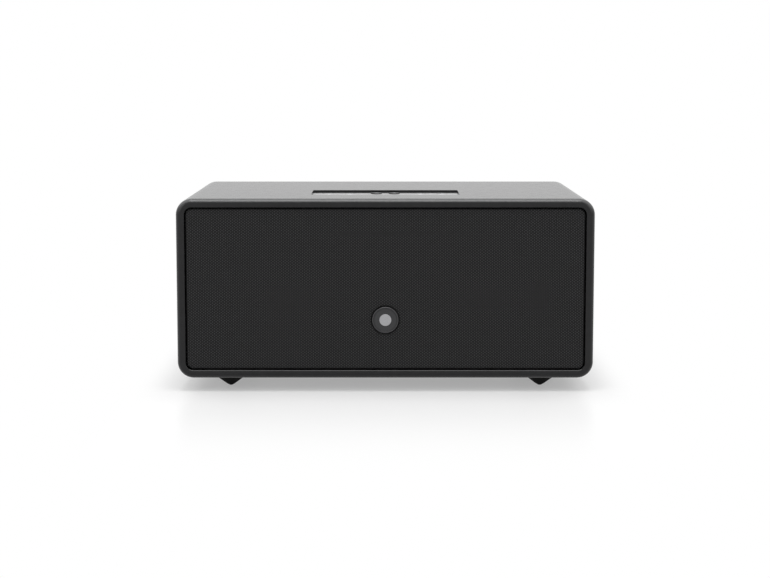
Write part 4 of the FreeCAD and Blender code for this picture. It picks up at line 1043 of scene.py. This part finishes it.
@dataclass
class Print:
    """A sign printed in thin ink. Sizes in metres, the joining distance in shares of the sign's size."""

    symbol: Symbol
    size: float
    centre: Vector
    facing: Axis
    ink: Finish = Finishes.INK
    thickness: float = 0.00005
    joining: float = 1e-5
    sharp: float = 30.0

    def build(self, name: str, node: str) -> None:
        """Prints the sign on a CAD node.

        Args:
            name: Name of the piece.
            node: CAD node that carries it.
        """
        bm = bmesh.new()
        for stroke in self.symbol.value:
            stroke.add(bm)
        bmesh.ops.remove_doubles(bm, verts=bm.verts, dist=self.joining)
        bmesh.ops.reverse_faces(bm, faces=[face for face in bm.faces if face.normal.z < 0])
        bmesh.ops.solidify(bm, geom=bm.faces, thickness=-self.thickness / self.size)
        place = Matrix.Translation(self.centre) @ self.facing.turn() @ Matrix.Scale(self.size, 4)
        bmesh.ops.transform(bm, verts=bm.verts, matrix=place)
        bmesh.ops.recalc_face_normals(bm, faces=bm.faces)
        hold(link_piece(name, mesh_of(bm, name, self.sharp), self.ink), node, stands_for=False)


@dataclass
class ScrewSet:
    """Screws of one kind, each with a six-lobed recess in its head. Sizes in metres, the dome in shares."""

    node: str
    facing: Axis
    head_radius: float
    shaft_radius: float
    head_height: float
    countersunk: bool = False
    sides: int = 24
    sharp: float = 30.0
    rim: float = 0.0001
    dome: Outline = ((1.0, 0.0), (0.98, 0.45), (0.8, 0.88), (0.62, 1.0))
    recess_share: float = 0.5
    recess_taper: float = 0.85
    recess_depth: float = 0.6
    lobes: int = 6
    lobe_share: float = 0.16

    def profile(self, length: float) -> Outline:
        """Lists the rings from the tip of the shaft up to the recess.

        Args:
            length: Length over all.

        Returns:
            Radius and height of each ring.
        """
        head, shaft, top = self.head_radius, self.shaft_radius, self.head_height
        if self.countersunk:
            rings = [(shaft, -length), (shaft, shaft - head), (head, -self.rim), (head - self.rim, 0.0)]
        else:
            rings = [(shaft, top - length), (shaft, 0.0)]
            rings += [(head * reach, top * rise) for reach, rise in self.dome]
        return rings + [(head * self.recess_share, rings[-1][1])]

    @staticmethod
    def step(bm: BMesh, face: BMFace, growth: float, rise: float, keep: bool = False) -> BMFace:
        """Extrudes the end face by one ring.

        Args:
            bm: Mesh, with the screw's axis on Z.
            face: End face.
            growth: Share by which the ring's radius changes.
            rise: Height that it gains.
            keep: Whether the old end face stays, as the flat end of the shaft.

        Returns:
            The new end face.
        """
        made = bmesh.ops.extrude_face_region(bm, geom=[face])["geom"]
        end = next(item for item in made if isinstance(item, BMFace))
        for vert in end.verts:
            vert.co = (vert.co.x * growth, vert.co.y * growth, vert.co.z + rise)
        if not keep:
            bmesh.ops.delete(bm, geom=[face], context="FACES_ONLY")
        return end

    def screw(self, bm: BMesh, place: Matrix, length: float) -> None:
        """Adds one screw.

        Args:
            bm: Mesh that takes it.
            place: Where its seat is, with +Z out of the head.
            length: Length over all.
        """
        others = set(bm.verts)
        (radius, height), *rings = self.profile(length)
        tip = bmesh.ops.create_circle(bm, cap_ends=True, segments=self.sides, radius=radius,
                                      matrix=Matrix.Translation((0.0, 0.0, height)))
        face = tip["verts"][0].link_faces[0]
        for number, (next_radius, next_height) in enumerate(rings):
            face = self.step(bm, face, next_radius / radius, next_height - height, keep=number == 0)
            radius, height = next_radius, next_height
        for vert in face.verts:
            share = 1.0 + self.lobe_share * math.cos(self.lobes * math.atan2(vert.co.y, vert.co.x))
            vert.co = (vert.co.x * share, vert.co.y * share, vert.co.z)
        self.step(bm, face, self.recess_taper, -self.recess_depth * self.head_height)
        bmesh.ops.transform(bm, matrix=place, verts=[vert for vert in bm.verts if vert not in others])

    def build(self, finish: Finish) -> None:
        """Makes every screw of the node in place of its plain solids.

        Args:
            finish: Finish of the screws.
        """
        bm = bmesh.new()
        out = Vector(self.facing.value)
        for low, high in solid_boxes(self.node):
            length = abs((high - low).dot(out))
            seat = (low + high) / 2 + out * (length / 2 - (0.0 if self.countersunk else self.head_height))
            self.screw(bm, Matrix.Translation(seat) @ self.facing.turn(), length)
        bmesh.ops.recalc_face_normals(bm, faces=bm.faces)
        hold(link_piece(self.node + "_shown", mesh_of(bm, self.node, self.sharp), finish), self.node)


@dataclass
class Cabinet:
    """Wrapped sleeve, boards, feet, lining and port. Sizes in metres."""

    cuts: int = 23
    rim: float = 0.02
    rim_share: float = 0.45
    sag: float = 0.88
    fluff: float = 0.0011
    fluff_scale: float = 60.0
    fluff_noise: tuple[float, float, int] = (0.6, 2.0, 4)
    deepest: float = -0.001

    def build(self) -> None:
        """Dresses the cabinet's pieces."""
        eased("cabinet_sleeve", Finishes.WRAP, edge=0.00025)
        eased("front_baffle", Finishes.BOARD, split=False)
        eased("rear_board", Finishes.BOARD)
        for side in ("front_left", "front_right", "rear_left", "rear_right"):
            eased("foot_" + side, Finishes.RUBBER, edge=0.0005)
        eased("port_tube", Finishes.PLASTIC, edge=0.0003)
        self.lining()
        painted("speaker_leads", Finishes.INSULATION)

    def lining(self) -> None:
        """Puffs up the blanket of wadding on the cabinet's floor."""
        low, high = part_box("damping_wadding")
        size = high - low
        place = Matrix.Translation((low + high) / 2) @ Matrix.Diagonal((*size, 1.0))
        bm = bmesh.new()
        bmesh.ops.create_cube(bm, size=1.0, matrix=place)
        bmesh.ops.subdivide_edges(bm, edges=bm.edges, cuts=self.cuts, use_grid_fill=True)
        for vert in bm.verts:
            inset = min(vert.co.x - low.x, high.x - vert.co.x, vert.co.y - low.y, high.y - vert.co.y)
            crown = min(1.0, max(inset, 0.0) / self.rim) ** 0.5
            puff = noise.fractal(vert.co * self.fluff_scale, *self.fluff_noise) * self.fluff
            top = (vert.co.z - low.z) / size.z
            full = (self.rim_share + (1.0 - self.rim_share) * crown) * size.z * self.sag
            vert.co.z = low.z + top * full + max(puff, self.deepest) * top
        mesh = mesh_of(bm, "wadding_blanket", SOFT_ANGLE)
        piece = hold(link_piece("wadding_blanket", mesh, Finishes.WADDING), "damping_wadding")


@dataclass
class GrillePanel:
    """Cloth over its frame, with the badge. Sizes in metres."""

    warp_pitch: float = 0.00158
    weft_pitch: float = 0.00123
    relief: float = 0.00013
    thickness: float = 0.00045
    edge_radius: float = 0.0006
    corner_radius: float = 0.0054
    wrap: float = 0.0085
    badge_overlap: float = 0.0006
    badge_groove: float = 0.0013
    groove_depth: float = 0.0005
    sharp: float = 180.0

    def build(self) -> None:
        """Dresses the frame and badge and stretches the cloth."""
        eased("grille_frame", Finishes.PLASTIC)
        eased("grille_sockets", Finishes.PLASTIC, edge=0.0)
        eased("badge_disc", Finishes.BADGE, edge=0.0005)
        eased("badge_inlay", Finishes.INLAY, edge=0.00005)
        self.cloth()

    def bent(self, x: float, z: float, half: Vector, face: Vector) -> Vector | None:
        """Finds where a point of the flat cloth lies once it is stretched round the frame.

        Args:
            x: Distance across the flat cloth from its middle.
            z: Distance up the flat cloth from its middle.
            half: Half width and half height of the panel.
            face: Middle of the panel's face.

        Returns:
            The point, or None past the hem.
        """
        core = half - Vector((self.corner_radius, self.corner_radius))
        held = Vector((max(-core.x, min(core.x, x)), max(-core.y, min(core.y, z))))
        out = Vector((x, z)) - held
        flat = self.corner_radius - self.edge_radius
        if out.length <= flat:
            return face + Vector((x, 0.0, z))
        arc = out.length - flat
        quarter = self.edge_radius * math.pi / 2
        if arc < quarter:
            angle = arc / self.edge_radius
            side = flat + self.edge_radius * math.sin(angle)
            depth = self.edge_radius * (1 - math.cos(angle))
        else:
            side = self.corner_radius
            depth = self.edge_radius + arc - quarter
        point = held + out.normalized() * side
        return face + Vector((point.x, depth, point.y)) if depth <= self.wrap else None

    def cloth(self) -> None:
        """Weaves the cloth as a sheet of raised and sunk crossings, stretched round the frame."""
        low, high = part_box("grille_cloth")
        half = Vector(((high.x - low.x) / 2, (high.z - low.z) / 2))
        face = Vector((0.0, low.y + self.relief, (low.z + high.z) / 2))
        badge_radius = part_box("badge_disc")[1].x - BADGE_CENTRE[0]
        columns = 2 * math.ceil((half.x + self.wrap) / self.warp_pitch)
        rows = 2 * math.ceil((half.y + self.wrap) / self.weft_pitch)
        bm = bmesh.new()
        bmesh.ops.create_grid(bm, x_segments=columns, y_segments=rows, size=0.5)
        lost = []
        for vert in bm.verts:
            column, row = round((vert.co.x + 0.5) * columns), round((vert.co.y + 0.5) * rows)
            point = self.bent((column - columns / 2) * self.warp_pitch, (row - rows / 2) * self.weft_pitch,
                              half, face)
            if point is None:
                lost.append(vert)
                continue
            if point.y < face.y + self.edge_radius:
                point.y += self.relief if (column + row) % 2 else -self.relief
            past_rim = math.hypot(point.x - BADGE_CENTRE[0], point.z - BADGE_CENTRE[2]) - badge_radius
            if -self.badge_overlap < past_rim < self.badge_groove:
                point.y += self.groove_depth
            vert.co = point
        bmesh.ops.delete(bm, geom=lost, context="VERTS")
        bmesh.ops.recalc_face_normals(bm, faces=bm.faces)
        if sum(face.normal.y for face in bm.faces) > 0:
            bmesh.ops.reverse_faces(bm, faces=bm.faces)
        mesh = mesh_of(bm, "grille_weave", self.sharp)
        piece = hold(link_piece("grille_weave", mesh, Finishes.CLOTH), "grille_cloth")
        body = piece.modifiers.new("yarn thickness", "SOLIDIFY")
        body.thickness = self.thickness
        body.offset = -1.0


@dataclass
class ControlDeck:
    """Sunk plate with its keys and their signs."""

    sign_size: float = 0.0042
    dark_keys: tuple[str, str] = ("volume_down", "volume_up")
    signs: dict[str, Symbol] = field(default_factory=lambda: {
        "power": Symbol.POWER, "source": Symbol.ARROW_IN, "volume_down": Symbol.MINUS,
        "volume_up": Symbol.PLUS, "play_pause": Symbol.PLAY_PAUSE, "next_track": Symbol.NEXT,
        "preset_1": Symbol.ONE, "preset_2": Symbol.TWO, "preset_3": Symbol.THREE, "preset_4": Symbol.FOUR,
    })

    def build(self) -> None:
        """Dresses the deck, its keys and the parts under it."""
        eased("deck_plate", Finishes.DECK, edge=0.00015)
        painted("control_board", Finishes.CIRCUIT)
        painted("key_switches", Finishes.GLOSS)
        for name, symbol in self.signs.items():
            node = "key_" + name
            dark = name in self.dark_keys
            eased(node, Finishes.KEY if dark else Finishes.METAL_KEY, edge=0.0001)
            centre = middle(node)
            centre.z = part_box(node)[1].z
            ink = Finishes.INK if dark else Finishes.DARK_INK
            Print(symbol, self.sign_size, centre, Axis.UP, ink).build(node + "_sign", node)


@dataclass
class Woofer:
    """Long-throw driver with its surround and spider. Sizes in metres."""

    roll_radius: float = 0.0044
    roll_steps: int = 14
    rubber: float = 0.0006
    glue: float = 0.0001
    lip: float = 0.0028
    cone_edge: float = 0.043
    cone_edge_depth: float = 0.0032
    seat_radius: float = 0.0576
    seat_depth: float = 0.0015
    spider_waves: int = 5
    wave_steps: int = 8
    spider_inner: float = 0.0176
    spider_outer: float = 0.0435
    spider_depth: float = 0.03
    spider_rise: float = 0.0011
    collar_top: float = -0.0258
    collar_bend: float = -0.0262
    wave_start: float = 0.0035
    wave_end: float = 0.0345
    cloth: float = 0.0005

    def build(self) -> None:
        """Dresses the driver."""
        eased("woofer_basket", Finishes.POWDER)
        painted("woofer_gasket", Finishes.FOAM)
        eased("woofer_cone", Finishes.PULP, edge=0.0)
        eased("woofer_dust_cap", Finishes.CAP, edge=0.0)
        eased("woofer_voice_coil", Finishes.COPPER, edge=0.0)
        eased("woofer_top_plate", Finishes.ZINC, edge=0.0003)
        eased("woofer_magnet", Finishes.FERRITE, edge=0.0005)
        eased("woofer_yoke", Finishes.ZINC, edge=0.0003)
        painted("woofer_terminals", Finishes.PLASTIC)
        ScrewSet("woofer_screws", Axis.FRONT, head_radius=0.0039, shaft_radius=0.002, head_height=0.0019,
                 countersunk=True).build(Finishes.BLACKENED)
        self.surround()
        self.spider()

    def bent(self, name: str, line: Outline, thickness: float, finish: Finish, node: str, start: float,
             end: float) -> None:
        """Spins a soft ring between the basket and the cone, in place of a CAD node.

        Args:
            name: Name of the piece.
            line: Radius and height of each point of its front, from the front of the baffle.
            thickness: Thickness of its wall.
            finish: Its finish.
            node: CAD node that it stands for.
            start: Not used.
            end: Not used.
        """
        face = middle("woofer_basket")
        face.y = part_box("woofer_basket")[0].y
        wall = [*line, *((radius, height - thickness) for radius, height in reversed(line))]
        mesh = mesh_of(turned_profile(wall, Axis.FRONT, face), name, SOFT_ANGLE)
        piece = link_piece(name, mesh, finish)
        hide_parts(node)
        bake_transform(piece)
        log.info("%s bends between speaker and woofer_moving", name)

    def surround(self) -> None:
        """Makes the half roll in two rings that meet at its crest."""
        seat = -self.seat_depth + self.rubber + self.glue
        edge = -self.cone_edge_depth + self.rubber + self.glue
        crest = seat + self.roll_radius
        middle_radius = self.cone_edge + self.rubber + self.roll_radius
        angles = [math.pi * (1 - n / self.roll_steps) for n in range(self.roll_steps + 1)]
        arc = [(middle_radius + self.roll_radius * math.cos(angle), seat + self.roll_radius * math.sin(angle))
               for angle in angles]
        half = self.roll_steps // 2
        inner = [(self.cone_edge - self.lip, edge), (middle_radius - self.roll_radius, edge)] + arc[:half + 1]
        outer = arc[half:] + [(self.seat_radius, seat)]
        self.bent("woofer_roll_outer", outer, self.rubber, Finishes.ROLL, "woofer_surround", seat,
                  2 * crest - seat)
        self.bent("woofer_roll_inner", inner, self.rubber, Finishes.ROLL, "woofer_surround", 2 * crest - edge,
                  edge)

    def spider(self) -> None:
        """Makes the corrugated centring cloth."""
        line = [(self.spider_inner, self.collar_top), (self.spider_inner + self.cloth, self.collar_bend),
                (self.spider_inner + 2 * self.cloth, -self.spider_depth)]
        first = self.spider_inner + self.wave_start
        count = self.spider_waves * self.wave_steps
        for share in (n / count for n in range(count + 1)):
            wave = math.sin(share * self.spider_waves * math.tau) * self.spider_rise
            line.append((first + (self.wave_end - first) * share, -self.spider_depth + wave))
        line.append((self.spider_outer, -self.spider_depth))
        self.bent("woofer_spider_cloth", line, self.cloth, Finishes.SPIDER, "woofer_spider",
                  self.spider_rise - self.spider_depth, self.collar_bend)


@dataclass
class Tweeter:
    """Dome driver on one side."""

    side: str

    def build(self) -> None:
        """Dresses the plate, dome and motor."""
        eased("tweeter_plate_" + self.side, Finishes.PLASTIC)
        eased("tweeter_dome_" + self.side, Finishes.DOME, edge=0.0)
        eased("tweeter_motor_" + self.side, Finishes.ZINC, edge=0.0002)


@dataclass
class RearPanel:
    """Amplifier panel with its sockets, signs and screws. Sizes in metres."""

    sign_size: float = 0.0055
    sign_rise: float = 0.0125
    floor_depth: float = 0.0016
    pin_offset: float = 0.0043
    pin_reach: float = 0.0013
    pin_depth: float = 0.001
    ring: Outline = ((0.0018, -0.0002), (0.0033, -0.0002), (0.0033, 0.00005), (0.0031, 0.0001),
                     (0.002, 0.0001), (0.0018, 0.00005))
    ring_steps: int = 40
    contacts: int = 8
    contact_pitch: float = 0.00102
    contact_size: Point = (0.00045, 0.0075, 0.0003)
    contact_place: tuple[float, float] = (-0.0062, -0.0042)
    contact_slope: float = 24.0
    contact_edge: float = 0.00008

    def build(self) -> None:
        """Dresses the panel and what it carries."""
        eased("amp_panel", Finishes.PANEL, edge=0.0003)
        painted("panel_seal", Finishes.FOAM)
        ScrewSet("panel_screws", Axis.REAR, head_radius=0.0034, shaft_radius=0.00175,
                 head_height=0.0019).build(Finishes.BLACKENED)
        ScrewSet("tweeter_screws", Axis.FRONT, head_radius=0.0025, shaft_radius=0.0014, head_height=0.0011,
                 countersunk=True).build(Finishes.BLACKENED)
        painted("board_screws", Finishes.BLACKENED)
        painted("amp_board", Finishes.CIRCUIT)
        painted("power_transformer", Finishes.TAPE)
        eased("amp_capacitors", Finishes.SLEEVE, edge=0.0)
        painted("heatsink", Finishes.ANODISED)
        painted("wireless_module", Finishes.ZINC)
        self.inlet()
        self.jacks()
        eased("usb_socket", Finishes.GLOSS, edge=0.0001)
        self.network()
        self.signs()

    def inlet(self) -> None:
        """Dresses the mains inlet, with bare metal pins in its hollow."""
        piece = eased("mains_inlet", Finishes.GLOSS, edge=0.00015)
        centre = middle("mains_inlet")
        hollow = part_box("mains_inlet")[1].y - self.pin_depth
        piece.data.materials.append(Finishes.NICKEL.build())
        for face in piece.data.polygons:
            aside = abs(abs(face.center.x - centre.x) - self.pin_offset)
            if math.hypot(aside, face.center.z - centre.z) < self.pin_reach and face.center.y < hollow:
                face.material_index = 1

    def jacks(self) -> None:
        """Dresses the phono jacks, with a coloured ring in each."""
        eased("phono_sockets", Finishes.NICKEL, edge=0.00015)
        finishes = (Finishes.BLACK_RING, Finishes.WHITE_RING, Finishes.RED_RING)
        for number, ((low, high), finish) in enumerate(zip(solid_boxes("phono_sockets"), finishes), 1):
            centre = (low + high) / 2
            centre.y = high.y
            name = f"jack_ring_{number}"
            mesh = mesh_of(turned_profile(self.ring, Axis.REAR, centre, self.ring_steps), name, SOFT_ANGLE)
            hold(link_piece(name, mesh, finish), "phono_sockets", stands_for=False)

    def network(self) -> None:
        """Dresses the network socket and adds its eight sprung contacts."""
        eased("network_socket", Finishes.GLOSS, edge=0.00015)
        centre = middle("network_socket")
        centre.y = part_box("network_socket")[1].y
        tilt = Matrix.Rotation(math.radians(self.contact_slope), 4, "X")
        shape = tilt @ Matrix.Diagonal((*self.contact_size, 1.0))
        bm = bmesh.new()
        for n in range(self.contacts):
            x = (n - (self.contacts - 1) / 2) * self.contact_pitch
            place = Matrix.Translation(centre + Vector((x, *self.contact_place)))
            bmesh.ops.create_cube(bm, size=1.0, matrix=place @ shape)
        bmesh.ops.bevel(bm, geom=bm.edges, offset=self.contact_edge, affect="EDGES", segments=1, profile=0.5,
                        material=-1)
        hold(link_piece("network_contacts", mesh_of(bm, "network_contacts"), Finishes.GOLD),
             "network_socket", stands_for=False)

    def signs(self) -> None:
        """Prints a plain sign above each socket, on the floor of the bay."""
        floor_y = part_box("network_socket")[1].y - self.floor_depth
        jacks = solid_boxes("phono_sockets")
        places = (
            ("mains_sign", Symbol.WAVE, middle("mains_inlet").x),
            ("line_in_sign", Symbol.ARROW_IN, (jacks[1][0].x + jacks[2][1].x) / 2),
            ("line_out_sign", Symbol.ARROW_OUT, (jacks[0][0].x + jacks[0][1].x) / 2),
            ("service_sign", Symbol.FORK, middle("usb_socket").x),
            ("network_sign", Symbol.NETWORK, middle("network_socket").x),
        )
        for name, symbol, x in places:
            centre = Vector((x, floor_y, middle("mains_inlet").z + self.sign_rise))
            Print(symbol, self.sign_size, centre, Axis.REAR).build(name, "amp_panel")


@dataclass(frozen=True)
class Lamp:
    """Soft lamp that points at the speaker. Sizes in metres, power in watts."""

    name: str
    place: Point
    size: tuple[float, float]
    power: float
    aim: ClassVar[Point] = (0.0, 0.0, 0.08)

    def hang(self) -> None:
        """Hangs the lamp."""
        data = bpy.data.lights.new(self.name, "AREA")
        data.shape = "RECTANGLE"
        data.size, data.size_y = self.size
        data.energy = self.power
        lamp = bpy.data.objects.new(self.name, data)
        lamp.location = self.place
        lamp.rotation_euler = (Vector(self.place) - Vector(self.aim)).to_track_quat("Z", "Y").to_euler()
        bpy.context.scene.collection.objects.link(lamp)


@dataclass
class Studio:
    """Camera, white floor and plain soft lamps. Sizes in metres, fades in metres past the cabinet."""

    focal_pixels: float = 1366.2
    picture_width: float = 770.0
    sensor_width: float = 36.0
    sight: float = 60.0
    camera_distance: float = 1.22638
    camera_height: float = 0.29593
    camera_pitch: float = 5.103
    shift: tuple[float, float] = (-0.00045, -0.1303)
    floor_reach: float = 14.0
    floor_cells: int = 24
    floor_white: float = 0.86
    floor_roughness: float = 0.3
    floor_specular: float = 0.3
    side_edge: float = 0.18
    side_fade: float = 0.06
    front_edge: float = 0.09
    front_fade: float = 0.28
    rear_fade: float = 0.12
    # share of the floor that emits light near the speaker: painted light that lifts its shadow
    shadow_lift_glow: float = 0.35
    ambient: float = 0.6
    lamps: tuple[Lamp, ...] = (
        Lamp("overhead softbox", place=(0.0, -0.19, 1.3), size=(1.0, 0.85), power=12.0),
        Lamp("left softbox", place=(-1.3, -0.9, 0.7), size=(0.7, 0.9), power=3.0),
        Lamp("right softbox", place=(1.3, -0.9, 0.7), size=(0.7, 0.9), power=2.2),
    )

    @staticmethod
    def past(graph: Graph, place: NodeSocket, edge: float, low_fade: float, high_fade: float) -> NodeSocket:
        """How far a point of the floor lies past the cabinet along one axis, in shares of the fades."""
        low = graph.ramp(place, -edge, -edge - low_fade)
        return graph.highest(low, graph.ramp(place, edge, edge + high_fade))

    def camera(self) -> None:
        """Places the camera where the photograph was taken from."""
        data = bpy.data.cameras.new("camera")
        data.sensor_width = self.sensor_width
        data.lens = self.focal_pixels / self.picture_width * data.sensor_width
        data.shift_x, data.shift_y = self.shift
        data.clip_end = self.sight
        camera = bpy.data.objects.new("camera", data)
        camera.location = (0.0, CAD_BOX[0].y - self.camera_distance, self.camera_height)
        camera.rotation_euler = (math.radians(90 - self.camera_pitch), 0.0, 0.0)
        bpy.context.scene.collection.objects.link(camera)
        bpy.context.scene.camera = camera

    def white(self) -> Material:
        """Makes the floor's glossy white, which near the speaker is partly self-lit, painted light that lifts
        its shadow, and turns to plain white away from the speaker.

        Returns:
            The material.
        """
        material = bpy.data.materials.new("white floor")
        graph = Graph.of(material)
        place = graph.axes(graph.add("ShaderNodeTexCoord").outputs["Object"])
        surface = graph.add("ShaderNodeBsdfPrincipled", {
            "Base Color": (*grey(self.floor_white), 1.0), "Roughness": self.floor_roughness,
            "Specular IOR Level": self.floor_specular,
        })
        plain = graph.add("ShaderNodeEmission", {"Color": WHITE, "Strength": 1.0})
        away = graph.highest(self.past(graph, place["X"], self.side_edge, self.side_fade, self.side_fade),
                             self.past(graph, place["Y"], self.front_edge, self.front_fade, self.rear_fade))
        # the floor emits part of its white even under the speaker: painted light lifting its shadow
        share = graph.times(graph.ramp(away, 0.0, 1.0, self.shadow_lift_glow, 1.0), graph.seen())
        mixed = graph.add("ShaderNodeMixShader", {0: share, 1: surface.outputs[0], 2: plain.outputs[0]})
        graph.add("ShaderNodeOutputMaterial", {"Surface": mixed.outputs[0]})
        return material

    def floor(self) -> None:
        """Lays the floor."""
        bm = bmesh.new()
        bmesh.ops.create_grid(bm, x_segments=self.floor_cells, y_segments=self.floor_cells,
                              size=self.floor_reach)
        mesh = bpy.data.meshes.new("floor")
        bm.to_mesh(mesh)
        bm.free()
        mesh.materials.append(self.white())
        floor = bpy.data.objects.new("floor", mesh)
        bpy.context.scene.collection.objects.link(floor)

    def world(self) -> None:
        """Makes the surroundings white to look at and a little dimmer as light."""
        world = bpy.data.worlds.new("studio")
        bpy.context.scene.world = world
        graph = Graph.of(world)
        light, plain = (graph.add("ShaderNodeBackground", {"Color": WHITE, "Strength": strength})
                        for strength in (self.ambient, 1.0))
        mixed = graph.add("ShaderNodeMixShader", {0: graph.seen(), 1: light.outputs[0], 2: plain.outputs[0]})
        graph.add("ShaderNodeOutputWorld", {"Surface": mixed.outputs[0]})

    def build(self) -> None:
        """Sets the studio up."""
        bpy.context.scene.view_settings.view_transform = "Standard"
        self.camera()
        self.floor()
        self.world()
        for lamp in self.lamps:
            lamp.hang()


def main() -> None:
    """Builds the speaker and its studio."""
    logging.basicConfig(level=logging.INFO, format="%(message)s")
    Cabinet().build()
    GrillePanel().build()
    ControlDeck().build()
    Woofer().build()
    for side in ("left", "right"):
        Tweeter(side).build()
    RearPanel().build()
    Studio().build()
    bpy.context.view_layer.update()


if __name__ == "__main__":
    main()
